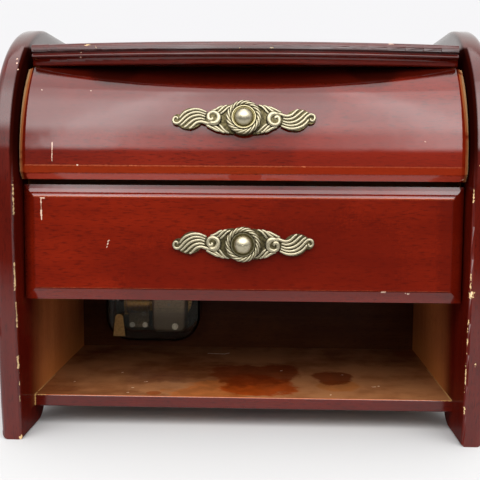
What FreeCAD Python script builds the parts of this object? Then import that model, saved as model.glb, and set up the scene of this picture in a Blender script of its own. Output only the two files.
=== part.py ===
import FreeCAD, Part
import math
import os

import Sketcher

# Musical jewellery chest: a roll-front case with two drawers on cast pulls, a hinged top board with a bowed
# moulded edge, an open bay, and a wind-up music movement in a clear cover on the back panel.
# Millimetres. X runs to the right, Y to the back and Z up. The origin is on the ground under the middle of
# the whole box, whose front is the side panels' nose and whose rear is the winding key.

DIMENSIONS = {
    # Case: side panels, shelf, back and inner boards
    "inner_half": 110.0,
    "panel_t": 11.0,
    "panel_front": -87.0,
    "panel_rear": 69.0,
    "panel_top": 211.5,
    "shoulder": 141.5,
    "front_lean": 7.5,
    "foot_flat": 32.0,
    "foot_run": 22.0,
    "panel_round_out": 4.0,
    "panel_round_in": 1.4,
    "rear_round": 10.0,
    "shelf_low": 10.7,
    "shelf_t": 6.3,
    "shelf_front": -56.5,
    "shelf_round": 0.8,
    "back_t": 5.0,
    "rim_high": 187.5,
    "board_front": -61.7,
    "bay_high": 74.0,
    "board_t": 4.0,
    "drawer_board_low": 128.0,
    "tray_low": 162.5,
    "tray_floor_t": 3.5,
    "rail_front": -49.0,
    "rail_t": 5.0,
    "felt_t": 1.2,
    "felt_gap": 0.6,
    # Top board
    "lid_low": 187.8,
    "lid_t": 10.6,
    "lid_gap": 3.4,
    "lid_end_front": -64.0,
    "lid_bow": 13.0,
    "nose_r": 1.9,
    "quirk_h": 0.9,
    "quirk_d": 2.1,
    "bead_r": 1.0,
    "bead_h": 1.9,
    "bead_d": 1.5,
    "cove_r": 2.2,
    "cove_h": 2.1,
    "lip_d": 3.2,
    "lip_soft": 0.6,
    # Drawers
    "front_gap": 1.0,
    "front_back": -62.0,
    "lower_low": 70.9,
    "lower_high": 128.5,
    "lower_base": -72.5,
    "bevel_w": 5.7,
    "bevel_d": 3.3,
    "field_step": 0.7,
    "field_inset": 0.6,
    "upper_low": 131.2,
    "upper_high": 187.3,
    "upper_recess": 6.5,
    "upper_skin": 11.0,
    "arris_z": 138.2,
    "facet_z": 134.4,
    "facet_in": 0.2,
    "foot_in": 3.2,
    "end_bevel": 3.2,
    "end_bevel_d": 1.3,
    "box_half": 108.5,
    "box_t": 6.0,
    "box_floor_t": 2.5,
    "box_rear": 58.0,
    "lower_box_low": 78.3,
    "lower_box_high": 124.0,
    "upper_box_low": 132.3,
    "upper_box_high": 160.5,
    # Pulls
    "pull_x": 0.8,
    "lower_pull_z": 100.1,
    "upper_pull_z": 160.3,
    "pull_plate_t": 1.8,
    "pull_ring_r": 7.3,
    "pull_rope_r": 1.3,
    "pull_disc_t": 4.4,
    "scroll_x": 14.6,
    "scroll_drop": 0.4,
    "scroll_r": 3.5,
    "scroll_t": 2.9,
    "knob_base_r": 5.8,
    "knob_rim_h": 1.1,
    "knob_dish_r": 5.4,
    "knob_dome_r": 4.9,
    "knob_high": 4.4,
    "pull_screw_r": 1.95,
    "pull_hole_r": 2.1,
    "pull_head_r": 3.6,
    "pull_head_t": 2.2,
    "spot_r": 4.6,
    "spot_seat": 9.0,
    # Hinges of the top board
    "hinge_x": 70.0,
    "hinge_w": 24.0,
    "hinge_y": 70.8,
    "hinge_z": 187.65,
    "hinge_leaf_t": 0.9,
    "hinge_leaf_h": 8.8,
    "hinge_barrel_r": 1.6,
    "hinge_pin_r": 0.75,
    "hinge_bore_r": 0.8,
    "hinge_end_gap": 0.25,
    "hinge_screw_x": 7.5,
    "hinge_screw_z": 6.2,
    "hinge_hole_r": 1.1,
    "hinge_screw_r": 1.0,
    "hinge_screw_len": 4.0,
    "hinge_head_r": 1.7,
    "hinge_head_t": 0.7,
    # Music movement: cover, bedplate and spring housing
    "case_left": -90.0,
    "case_right": -30.0,
    "case_low": 26.0,
    "case_high": 73.0,
    "case_depth": 26.0,
    "case_wall": 1.2,
    "case_corner_low": 16.0,
    "case_corner_high": 4.0,
    "case_edge": 2.0,
    "bed_gap": 1.3,
    "bed_t": 2.5,
    "arbor_x": -50.0,
    "arbor_z": 49.0,
    "arbor_r": 1.95,
    "arbor_hole_r": 2.05,
    "arbor_pivot_r": 1.0,
    "back_hole_r": 4.0,
    "housing_half_x": 11.0,
    "housing_half_z": 18.0,
    "housing_depth": 19.5,
    "housing_wall": 1.0,
    "housing_corner": 4.0,
    "housing_slot": 5.5,
    "pivot_hole_r": 1.05,
    "spring_t": 0.4,
    "spring_pitch": 1.2,
    "spring_turns": 6,
    "spring_h": 11.0,
    "spring_back": 55.5,
    # Music movement: wheels
    "wheel_teeth": 40,
    "wheel_tooth_in": 11.5,
    "wheel_tooth_out": 13.2,
    "wheel_web_back": 60.2,
    "wheel_root": 58.7,
    "wheel_tip": 57.1,
    "mesh_y": 57.75,
    "pinion_teeth": 16,
    "pinion_r": 5.0,
    "pinion_tip": 0.6,
    "pinion_root": 0.8,
    "pinion_left": -63.4,
    "pinion_w": 1.8,
    "cyl_r": 6.5,
    "cyl_wall": 0.8,
    "cyl_left": -77.5,
    "cyl_right": -64.5,
    "cyl_plug": 1.5,
    "axle_r": 0.98,
    "axle_left": -81.0,
    "axle_right": -60.2,
    "spur_teeth": 40,
    "spur_r": 8.0,
    "spur_left": -79.5,
    "spur_w": 1.5,
    "governor_teeth": 10,
    "governor_r": 2.0,
    "mesh_slack": 0.08,
    "small_tip": 0.36,
    "small_root": 0.5,
    "governor_left": -79.8,
    "governor_w": 2.1,
    "governor_axle_r": 0.6,
    "worm_teeth": 24,
    "worm_r": 3.6,
    "worm_tip": 0.25,
    "worm_left": -84.5,
    "worm_w": 1.2,
    "fly_spindle_r": 0.8,
    "fly_pivot_r": 0.5,
    "fly_low": 50.5,
    "fly_high": 69.5,
    "fly_vane_half": 3.1,
    "fly_vane_low": 64.0,
    "fly_vane_high": 68.6,
    "fly_vane_t": 0.4,
    "bracket_t": 0.9,
    "bracket_left": -88.4,
    "bracket_right": -76.1,
    # Music movement: comb, stop lever, screws and key
    "comb_left": -77.4,
    "comb_right": -64.6,
    "comb_low": 32.2,
    "comb_gap": 0.6,
    "comb_t": 1.0,
    "comb_root": 35.6,
    "comb_teeth": 18,
    "comb_slit": 0.26,
    "comb_screw_z": 33.9,
    "comb_screw_in": 2.2,
    "small_screw_r": 1.0,
    "small_hole_r": 1.05,
    "stop_x": -81.1,
    "stop_z": 41.0,
    "stop_face": 36.1,
    "stop_t": 0.8,
    "stop_half": 2.6,
    "stop_foot_half": 3.8,
    "stop_drop": 11.6,
    "stop_shaft_r": 0.95,
    "fix_r": 1.45,
    "fix_hole_r": 1.5,
    "fix_head_r": 2.8,
    "fix_head_t": 1.2,
    "key_rear": 87.0,
    "key_hub_front": 71.5,
    "key_hub_r": 3.4,
    "key_neck": 76.0,
    "key_half": 12.0,
    "key_lobe_r": 5.0,
    "key_t": 1.8,
}

DOC = FreeCAD.newDocument("JewelleryChest")
NODES = {}


class Size:
    """A length in mm together with the sheet formula that drives it."""

    def __init__(self, value, formula=None):
        self.value = float(value)
        self.formula = formula or repr(float(value))

    def __add__(self, other):
        other = size(other)
        return Size(self.value + other.value, f"({self.formula} + {other.formula})")

    def __sub__(self, other):
        other = size(other)
        return Size(self.value - other.value, f"({self.formula} - {other.formula})")

    def __mul__(self, other):
        other = size(other)
        return Size(self.value * other.value, f"({self.formula} * {other.formula})")

    def __truediv__(self, other):
        other = size(other)
        return Size(self.value / other.value, f"({self.formula} / {other.formula})")

    def __radd__(self, other):
        return size(other) + self

    def __rsub__(self, other):
        return size(other) - self

    def __rmul__(self, other):
        return size(other) * self

    def __neg__(self):
        return Size(-self.value, f"(0 - {self.formula})")


class Cells:
    """The sheet's cells as sizes, by alias."""

    def __getattr__(self, alias):
        return Size(DIMENSIONS[alias], f"Dims.{alias}")


D = Cells()


def size(value):
    """A plain number as a size; a size as it is."""
    return value if isinstance(value, Size) else Size(value)


def root(length):
    """Square root of a size."""
    return Size(math.sqrt(length.value), f"sqrt({length.formula})")


def bow_radius(half_chord, rise):
    """Radius of the arc that rises so far over half its chord."""
    return (half_chord * half_chord + rise * rise) / (2 * rise)


def make_sheet():
    """The spreadsheet with one aliased cell for each driving dimension."""
    sheet = DOC.addObject("Spreadsheet::Sheet", "Dims")
    for row, (alias, value) in enumerate(DIMENSIONS.items(), start=1):
        sheet.set(f"A{row}", alias)
        sheet.set(f"B{row}", str(value))
        sheet.setAlias(f"B{row}", alias)
    DOC.recompute()


def bind(obj, prop, length):
    """Drive one property of an object by a size."""
    obj.setExpression(prop, size(length).formula)


def place(obj, x=0, y=0, z=0, rotation=None):
    """Set where an object stands; its turn comes first, then its position from the sheet."""
    if rotation is not None:
        obj.Placement = FreeCAD.Placement(FreeCAD.Vector(), rotation)
    for axis, length in zip("xyz", (x, y, z)):
        bind(obj, f"Placement.Base.{axis}", length)


def publish(label, obj):
    """Register an object as the sub-part of that name."""
    obj.Label = label
    NODES[label] = obj
    return obj


def turn(axis, degrees):
    """Rotation about one of the three axes."""
    vectors = {"X": FreeCAD.Vector(1, 0, 0), "Y": FreeCAD.Vector(0, 1, 0), "Z": FreeCAD.Vector(0, 0, 1)}
    return FreeCAD.Rotation(vectors[axis], degrees)


# Sketches and features


class Arc:
    """A step of an outline: an arc of under half a circle to a point, turning left or right."""

    def __init__(self, to, radius, left=True):
        self.to = to
        self.radius = size(radius)
        self.left = left


def body_named(label):
    """A new body, registered as the sub-part of that name."""
    return publish(label, DOC.addObject("PartDesign::Body", label))


def origin_feature(body, role):
    """An origin plane or axis of a body."""
    return next(feature for feature in body.Origin.OriginFeatures if feature.Role == role)


def sketch_on(body, plane, offset=0, shift=(0, 0)):
    """A sketch on an origin plane of its body, moved along the plane's normal and within the plane."""
    sketch = body.newObject("Sketcher::SketchObject", "Sketch")
    sketch.AttachmentSupport = [(origin_feature(body, plane), "")]
    sketch.MapMode = "FlatFace"
    bind(sketch, "AttachmentOffset.Base.x", shift[0])
    bind(sketch, "AttachmentOffset.Base.y", shift[1])
    bind(sketch, "AttachmentOffset.Base.z", offset)
    return sketch


def pin_point(sketch, geometry, position, point):
    """Hold a point of a sketch at two sizes from the sketch's origin."""
    for kind, length in zip(("DistanceX", "DistanceY"), point):
        length = size(length)
        index = sketch.addConstraint(Sketcher.Constraint(kind, -1, 1, geometry, position, length.value))
        sketch.setExpression(f"Constraints[{index}]", length.formula)


def hold_radius(sketch, geometry, radius):
    """Hold the radius of an arc or circle."""
    index = sketch.addConstraint(Sketcher.Constraint("Radius", geometry, radius.value))
    sketch.setExpression(f"Constraints[{index}]", radius.formula)


def vector(point):
    """A pair of sizes as a vector in the sketch's plane."""
    return FreeCAD.Vector(size(point[0]).value, size(point[1]).value, 0)


def arc_geometry(start, step):
    """The circle arc of a step from its start, as the sketch draws it."""
    first, last = vector(start), vector(step.to)
    chord = last - first
    reach = math.sqrt(max(step.radius.value ** 2 - chord.Length ** 2 / 4, 0.0))
    side = 1 if step.left else -1
    normal = FreeCAD.Vector(-chord.y, chord.x, 0).normalize()
    centre = (first + last) * 0.5 + normal * (reach * side)
    circle = Part.Circle(centre, FreeCAD.Vector(0, 0, 1), step.radius.value)
    ends = (first, last) if step.left else (last, first)
    angles = [math.atan2(end.y - centre.y, end.x - centre.x) for end in ends]
    return Part.ArcOfCircle(circle, *angles)


def outline(sketch, start, *steps):
    """Draw a closed outline from a start point; a step is a point, or an Arc to one."""
    points = [start] + [step.to if isinstance(step, Arc) else step for step in steps]
    spans = []
    for index, step in enumerate(steps):
        if isinstance(step, Arc):
            geometry = sketch.addGeometry(arc_geometry(points[index], step))
            spans.append((geometry, (1, 2) if step.left else (2, 1)))
            hold_radius(sketch, geometry, step.radius)
        else:
            geometry = sketch.addGeometry(Part.LineSegment(vector(points[index]), vector(step)))
            spans.append((geometry, (1, 2)))
    if (vector(points[-1]) - vector(start)).Length > 1e-6:
        geometry = sketch.addGeometry(Part.LineSegment(vector(points[-1]), vector(start)))
        spans.append((geometry, (1, 2)))
    for index, (geometry, ends) in enumerate(spans):
        before, before_ends = spans[index - 1]
        sketch.addConstraint(Sketcher.Constraint("Coincident", before, before_ends[1], geometry, ends[0]))
        pin_point(sketch, geometry, ends[0], points[index])
    return sketch


def rectangle(sketch, x, y):
    """Draw a rectangle between two limits on each axis."""
    return outline(sketch, (x[0], y[0]), (x[1], y[0]), (x[1], y[1]), (x[0], y[1]))


def rounded_rectangle(sketch, x, y, low_r, high_r):
    """Draw a rectangle with one radius at its lower corners and another at its upper ones."""
    (left, right), (low, high) = x, y
    return outline(
        sketch, (left + low_r, low),
        (right - low_r, low), Arc((right, low + low_r), low_r),
        (right, high - high_r), Arc((right - high_r, high), high_r),
        (left + high_r, high), Arc((left, high - high_r), high_r),
        (left, low + low_r), Arc((left + low_r, low), low_r))


def circle(sketch, centre, radius):
    """Draw a circle."""
    shape = Part.Circle(vector(centre), FreeCAD.Vector(0, 0, 1), size(radius).value)
    geometry = sketch.addGeometry(shape)
    hold_radius(sketch, geometry, size(radius))
    pin_point(sketch, geometry, 3, centre)
    return sketch


def extrude(kind, body, sketch, length, symmetric=False, reverse=False):
    """A Pad or Pocket of a sketch."""
    feature = body.newObject(f"PartDesign::{kind}", kind)
    feature.Profile = sketch
    feature.SideType = "Symmetric" if symmetric else "One side"
    feature.Reversed = reverse
    bind(feature, "Length", length)
    return feature


def pad(body, sketch, length, symmetric=False, reverse=False):
    """Add a sketch's area over a length along its normal."""
    return extrude("Pad", body, sketch, length, symmetric, reverse)


def pocket(body, sketch, length, symmetric=False, reverse=False):
    """Cut a sketch's area over a length, against its normal unless reversed, and prove that it cut."""
    DOC.recompute()
    before = body.Shape.Volume
    feature = extrude("Pocket", body, sketch, length, symmetric, reverse)
    DOC.recompute()
    if body.Shape.Volume >= before:
        raise RuntimeError(f"a pocket of {body.Label} cuts nothing")
    return feature


def revolve(body, sketch, axis, kind="Revolution", angle=360.0):
    """Turn a sketch about one of its own axes, adding a Revolution or cutting a Groove."""
    feature = body.newObject(f"PartDesign::{kind}", kind)
    feature.Profile = sketch
    feature.ReferenceAxis = (sketch, [axis])
    feature.Midplane = angle < 360.0
    feature.Angle = angle
    return feature


def loft(body, first, last):
    """A straight loft between two sketches."""
    feature = body.newObject("PartDesign::AdditiveLoft", "Loft")
    feature.Profile = first
    feature.Sections = [last]
    feature.Ruled = True
    return feature


def repeat_round(body, originals, axis, count):
    """Repeat features evenly round an origin axis of the body."""
    pattern = body.newObject("PartDesign::PolarPattern", "Round")
    pattern.Originals = originals
    pattern.Axis = (origin_feature(body, axis), [""])
    pattern.Angle = 360.0
    pattern.Occurrences = int(count)
    body.Tip = pattern
    return pattern


def dress(kind, body, length, test, prop="Radius"):
    """Fillet or chamfer the edges of the body that pass a test."""
    DOC.recompute()
    base = body.Tip
    names = [f"Edge{i}" for i, edge in enumerate(base.Shape.Edges, start=1) if test(edge)]
    feature = body.newObject(f"PartDesign::{kind}", kind)
    feature.Base = (base, names)
    bind(feature, prop, length)
    DOC.recompute()
    return feature


def in_plane(axis, value):
    """A test for edges that lie in the plane at a value on an axis."""
    def test(edge):
        low, high = getattr(edge.BoundBox, f"{axis}Min"), getattr(edge.BoundBox, f"{axis}Max")
        return abs(low - value) < 0.01 and abs(high - value) < 0.01
    return test


def board(label, x, y, z):
    """A plain board between two limits on each axis."""
    box = DOC.addObject("Part::Box", label)
    for prop, (low, high) in zip(("Length", "Width", "Height"), (x, y, z)):
        bind(box, prop, size(high) - low)
    place(box, x[0], y[0], z[0])
    return publish(label, box)


def rod(radius, length, axis, x, y, z):
    """A plain cylinder from a point along X, Y or Z; a negative axis runs the other way."""
    bar = DOC.addObject("Part::Cylinder", "Rod")
    bind(bar, "Radius", radius)
    bind(bar, "Height", length)
    turns = {"X": turn("Y", 90), "Y": turn("X", -90), "-Y": turn("X", 90), "Z": None}
    place(bar, x, y, z, turns[axis])
    return bar


def screws(label, places, axis, head, shank):
    """Screws in one node: heads stand out against the axis from each place, shanks run along it.

    Args:
        label: name of the node.
        places: list of (x, y, z) where each head seats.
        axis: direction in which the shanks go.
        head: radius and height of a head.
        shank: radius and length of a shank.
    """
    back = {"Y": "-Y", "-Y": "Y"}[axis]
    made = []
    for x, y, z in places:
        screw = DOC.addObject("Part::Fuse", "Screw")
        screw.Base = rod(head[0], head[1], back, x, y, z)
        screw.Tool = rod(shank[0], shank[1], axis, x, y, z)
        screw.Refine = True
        made.append(screw)
    if len(made) == 1:
        return publish(label, made[0])
    group = DOC.addObject("Part::Compound", label)
    group.Links = made
    return publish(label, group)


# Case


def side_panels():
    """Shaped side boards: rolled front, bracket feet with ogees, arch between them, softened edges."""
    body = body_named("right_side_panel")
    foot_front = D.panel_front + D.front_lean
    ogee_r = (D.foot_run * D.foot_run + D.shelf_low * D.shelf_low) / (4 * D.shelf_low)
    roll_r = D.panel_top - D.shoulder
    half_run, half_rise = D.foot_run / 2, D.shelf_low / 2
    heel, toe = foot_front + D.foot_flat, D.panel_rear - D.foot_flat
    sketch = outline(
        sketch_on(body, "YZ_Plane", D.inner_half), (foot_front, 0),
        (heel, 0), Arc((heel + half_run, half_rise), ogee_r),
        Arc((heel + D.foot_run, D.shelf_low), ogee_r, left=False),
        (toe - D.foot_run, D.shelf_low), Arc((toe - half_run, half_rise), ogee_r, left=False),
        Arc((toe, 0), ogee_r),
        (D.panel_rear, 0), (D.panel_rear, D.panel_top - D.rear_round),
        Arc((D.panel_rear - D.rear_round, D.panel_top), D.rear_round),
        (D.panel_front + roll_r, D.panel_top), Arc((D.panel_front, D.shoulder), roll_r),
        Arc((foot_front, 0), bow_radius(D.shoulder, D.front_lean)))
    pad(body, sketch, D.panel_t)
    dress("Fillet", body, D.panel_round_out, in_plane("X", (D.inner_half + D.panel_t).value))
    dress("Fillet", body, D.panel_round_in, in_plane("X", D.inner_half.value))
    other = DOC.addObject("Part::Mirroring", "left_side_panel")
    other.Source = body
    other.Normal = FreeCAD.Vector(1, 0, 0)
    publish("left_side_panel", other)


def back_panel():
    """Board between the side panels, bored for the winding arbor and the movement's screws."""
    body = body_named("back_panel")
    sketch = sketch_on(body, "XZ_Plane", -D.panel_rear)
    rectangle(sketch, (-D.inner_half, D.inner_half), (D.shelf_low, D.rim_high))
    circle(sketch, (D.arbor_x, D.arbor_z), D.back_hole_r)
    for x, z in movement_screw_places():
        circle(sketch, (x, z), D.fix_hole_r)
    pad(body, sketch, D.back_t)


def bottom_shelf():
    """Floor of the bay, with a softened front edge."""
    body = body_named("bottom_shelf")
    sketch = sketch_on(body, "YZ_Plane")
    front, rear = D.shelf_front, D.panel_rear - D.back_t
    low, high, soft = D.shelf_low, D.shelf_low + D.shelf_t, D.shelf_round
    outline(
        sketch, (front + soft, low), (rear, low), (rear, high), (front + soft, high),
        Arc((front, high - soft), soft), (front, low + soft), Arc((front + soft, low), soft))
    pad(body, sketch, 2 * D.inner_half, symmetric=True)


def inner_boards():
    """Boards that carry the drawers, and the tray under the top board with its felt."""
    across = (-D.inner_half, D.inner_half)
    rear = D.panel_rear - D.back_t
    board("bay_board", across, (D.board_front, rear), (D.bay_high, D.bay_high + D.board_t))
    board("drawer_board", across, (D.board_front, rear), (D.drawer_board_low, D.drawer_board_low + D.board_t))
    tray_top = D.tray_low + D.tray_floor_t
    board("tray_floor", across, (D.rail_front, rear), (D.tray_low, tray_top))
    board("tray_rail", across, (D.rail_front, D.rail_front + D.rail_t), (tray_top, D.rim_high))
    felt_half = D.inner_half - D.felt_gap
    board("tray_felt", (-felt_half, felt_half), (D.rail_front + D.rail_t + D.felt_gap, rear - D.felt_gap),
          (tray_top, tray_top + D.felt_t))


# Top board and its hinges


def lid_board():
    """Top board whose front edge is bowed in plan and moulded: nose, quirk, bead, cove and lip."""
    body = body_named("lid_board")
    half = D.inner_half - D.lid_gap
    nose = D.lid_end_front - D.lid_bow
    spare = D.lid_bow / 2
    plan = rectangle(sketch_on(body, "XY_Plane", D.lid_low), (-half, half), (nose - spare, D.panel_rear))
    pad(body, plan, D.lid_t)
    DOC.recompute()
    solid = body.Shape.Volume
    bow_r = bow_radius(half, D.lid_bow)
    high = D.lid_low + D.lid_t
    nose_low = high - 2 * D.nose_r
    bead_high = nose_low - D.quirk_h
    bead_low = bead_high - D.bead_h
    lip_high = bead_low - D.cove_h

    def face(depth, z):
        return (depth - bow_r, z)

    away = -(D.lid_bow + 2 * spare)
    moulding = outline(
        sketch_on(body, "YZ_Plane", shift=(nose + bow_r, 0)), face(away, D.lid_low - spare),
        face(D.lip_d + D.lip_soft, D.lid_low - spare), face(D.lip_d + D.lip_soft, D.lid_low),
        face(D.lip_d, D.lid_low + D.lip_soft), face(D.lip_d, lip_high),
        Arc(face(D.bead_d, bead_low), D.cove_r),
        Arc(face(D.bead_d, bead_high), D.bead_r, left=False),
        face(D.quirk_d, bead_high), face(D.quirk_d, nose_low), face(D.nose_r, nose_low),
        Arc(face(0, nose_low + D.nose_r), D.nose_r, left=False),
        Arc(face(D.nose_r, high), D.nose_r, left=False),
        face(D.nose_r, high + spare), face(away, high + spare))
    revolve(body, moulding, "V_Axis", kind="Groove", angle=40.0)
    DOC.recompute()
    if body.Shape.Volume >= solid:
        raise RuntimeError("the moulding of the top board cuts nothing")


def hinge_leaf(label, centre_x, up):
    """One leaf of a butt hinge with its knuckles: the outer two below, the middle one above."""
    body = body_named(label)
    third = D.hinge_w / 6
    clear = D.hinge_barrel_r + D.hinge_end_gap
    back_face = D.panel_rear
    sign = 1 if up else -1
    gap = D.hinge_end_gap / 2
    inner, outer = third - gap, third + gap
    near = D.hinge_z + sign * clear
    far = D.hinge_z + sign * (D.hinge_leaf_h + D.hinge_barrel_r)
    half = D.hinge_w / 2
    plate = sketch_on(body, "XZ_Plane", -back_face - D.hinge_leaf_t)
    left, right = centre_x - half, centre_x + half
    if up:
        outline(
            plate, (left, near), (centre_x - inner, near), (centre_x - inner, D.hinge_z),
            (centre_x + inner, D.hinge_z), (centre_x + inner, near), (right, near), (right, far), (left, far))
    else:
        outline(
            plate, (left, far), (right, far), (right, D.hinge_z), (centre_x + outer, D.hinge_z),
            (centre_x + outer, near), (centre_x - outer, near), (centre_x - outer, D.hinge_z),
            (left, D.hinge_z))
    for x in (centre_x - D.hinge_screw_x, centre_x + D.hinge_screw_x):
        circle(plate, (x, D.hinge_z + sign * D.hinge_screw_z), D.hinge_hole_r)
    pad(body, plate, D.hinge_leaf_t)
    spans = [(centre_x - inner, 2 * inner)] if up else [
        (left, half - outer), (centre_x + outer, half - outer)]
    for start, length in spans:
        barrel = circle(sketch_on(body, "YZ_Plane", start), (D.hinge_y, D.hinge_z), D.hinge_barrel_r)
        pad(body, barrel, length)
    bore = circle(sketch_on(body, "YZ_Plane", centre_x), (D.hinge_y, D.hinge_z), D.hinge_bore_r)
    pocket(body, bore, 2 * D.hinge_w, symmetric=True)


def hinges():
    """Two butt hinges on the rear edge of the top board, with their pins and screws."""
    seat = D.panel_rear + D.hinge_leaf_t
    head, shank = (D.hinge_head_r, D.hinge_head_t), (D.hinge_screw_r, D.hinge_screw_len)
    places = {"fixed": [], "lid": []}
    for name, centre_x in (("left", -D.hinge_x), ("right", D.hinge_x)):
        hinge_leaf(f"{name}_hinge_fixed_leaf", centre_x, up=False)
        hinge_leaf(f"{name}_hinge_lid_leaf", centre_x, up=True)
        pin = rod(D.hinge_pin_r, D.hinge_w, "X", centre_x - D.hinge_w / 2, D.hinge_y, D.hinge_z)
        publish(f"{name}_hinge_pin", pin)
        for x in (centre_x - D.hinge_screw_x, centre_x + D.hinge_screw_x):
            places["fixed"].append((x, seat, D.hinge_z - D.hinge_screw_z))
            places["lid"].append((x, seat, D.hinge_z + D.hinge_screw_z))
    for name, spots in places.items():
        screws(f"hinge_{name}_screws", spots, "-Y", head, shank)


# Drawers


def upper_tilt():
    """Slope of the curved front at its pull, in degrees from upright."""
    radius = D.panel_top - D.shoulder - D.upper_recess
    return math.degrees(math.asin((D.upper_pull_z - D.shoulder).value / radius.value))


def pull_seats():
    """Where each pull's back meets its drawer front: y, z and tilt in degrees."""
    radius = D.panel_top - D.shoulder - D.upper_recess
    rise = D.upper_pull_z - D.shoulder
    axis_y = D.panel_front + D.panel_top - D.shoulder
    upper_y = axis_y - root(radius * radius - rise * rise)
    lower_y = D.lower_base - D.bevel_d - D.field_step
    return {"upper": (upper_y, D.upper_pull_z, upper_tilt()), "lower": (lower_y, D.lower_pull_z, 0.0)}


def bore_for_pull(body, seat, seat_depth):
    """Bore a drawer front for its pull's screw, with a flat seat for the head behind."""
    y, z, tilt = seat
    for radius, start in ((D.pull_hole_r, size(0)), (D.spot_r, seat_depth)):
        sketch = sketch_on(body, "XZ_Plane")
        slope = turn("X", -tilt)
        sketch.AttachmentOffset = FreeCAD.Placement(FreeCAD.Vector(), slope)
        bind(sketch, "AttachmentOffset.Base.y", z - start * math.sin(math.radians(tilt)))
        bind(sketch, "AttachmentOffset.Base.z", -y - start * math.cos(math.radians(tilt)))
        circle(sketch, (D.pull_x, 0), radius)
        pocket(body, sketch, 60, symmetric=start.value == 0)


def lower_front():
    """Flat drawer front: slab, bevelled all round, with a raised field."""
    body = body_named("lower_drawer_front")
    half = D.inner_half - D.front_gap

    def rectangle_at(y, inset):
        sketch = sketch_on(body, "XZ_Plane", -y)
        return rectangle(sketch, (inset - half, half - inset), (D.lower_low + inset, D.lower_high - inset))

    pad(body, rectangle_at(D.front_back, size(0)), D.front_back - D.lower_base)
    bevel_face = D.lower_base - D.bevel_d
    loft(body, rectangle_at(D.lower_base, size(0)), rectangle_at(bevel_face, D.bevel_w))
    pad(body, rectangle_at(bevel_face, D.bevel_w + D.field_inset), D.field_step)
    y, z, _ = pull_seats()["lower"]
    hole = circle(sketch_on(body, "XZ_Plane", -y), (D.pull_x, z), D.pull_hole_r)
    pocket(body, hole, D.front_back - y)


def upper_front():
    """Curved drawer front: rolled face, two facets along the foot, bevelled ends, flat back for the box."""
    body = body_named("upper_drawer_front")
    axis_y = D.panel_front + D.panel_top - D.shoulder
    face_r = D.panel_top - D.shoulder - D.upper_recess
    skin_r = face_r - D.upper_skin
    face_y = axis_y - face_r
    rise = D.upper_high - D.shoulder
    reach = root(face_r * face_r - rise * rise)
    back_reach = axis_y - D.front_back
    back_high = D.shoulder + root(skin_r * skin_r - back_reach * back_reach)
    profile = outline(
        sketch_on(body, "YZ_Plane"), (face_y, D.shoulder), (face_y, D.arris_z),
        (face_y + D.facet_in, D.facet_z), (face_y + D.foot_in, D.upper_low), (D.front_back, D.upper_low),
        (D.front_back, back_high),
        Arc((axis_y - reach * skin_r / face_r, D.shoulder + rise * skin_r / face_r), skin_r, left=False),
        (axis_y - reach, D.upper_high), Arc((face_y, D.shoulder), face_r))
    pad(body, profile, 2 * (D.inner_half - D.front_gap), symmetric=True)
    end_x = (D.inner_half - D.front_gap).value
    front_y = (face_y + D.foot_in).value

    def face_end(edge):
        middle = edge.CenterOfMass
        on_end = abs(abs(middle.x) - end_x) < 0.01 and edge.BoundBox.XLength < 0.01
        rolled = edge.Curve.TypeId == "Part::GeomCircle" and abs(edge.Curve.Radius - face_r.value) < 0.01
        return on_end and (rolled or edge.BoundBox.YMax < front_y + 0.01)

    bevel = dress("Chamfer", body, D.end_bevel, face_end, prop="Size")
    bevel.ChamferType = "Two distances"
    bind(bevel, "Size2", D.end_bevel_d)
    bore_for_pull(body, pull_seats()["upper"], D.spot_seat)


def drawer_box(prefix, low, high):
    """Box behind a drawer front: two sides, back, floor and felt."""
    half, inside = D.box_half, D.box_half - D.box_t
    length = (D.front_back, D.box_rear)
    wall = (low + D.box_floor_t, high)
    board(f"{prefix}_drawer_left_side", (-half, -inside), length, wall)
    board(f"{prefix}_drawer_right_side", (inside, half), length, wall)
    board(f"{prefix}_drawer_back", (-inside, inside), (D.box_rear - D.box_t, D.box_rear), wall)
    board(f"{prefix}_drawer_floor", (-half, half), length, (low, low + D.box_floor_t))
    felt = D.felt_gap - inside
    board(f"{prefix}_drawer_felt", (felt, -felt),
          (D.front_back + D.felt_gap, D.box_rear - D.box_t - D.felt_gap),
          (low + D.box_floor_t, low + D.box_floor_t + D.felt_t))


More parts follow.
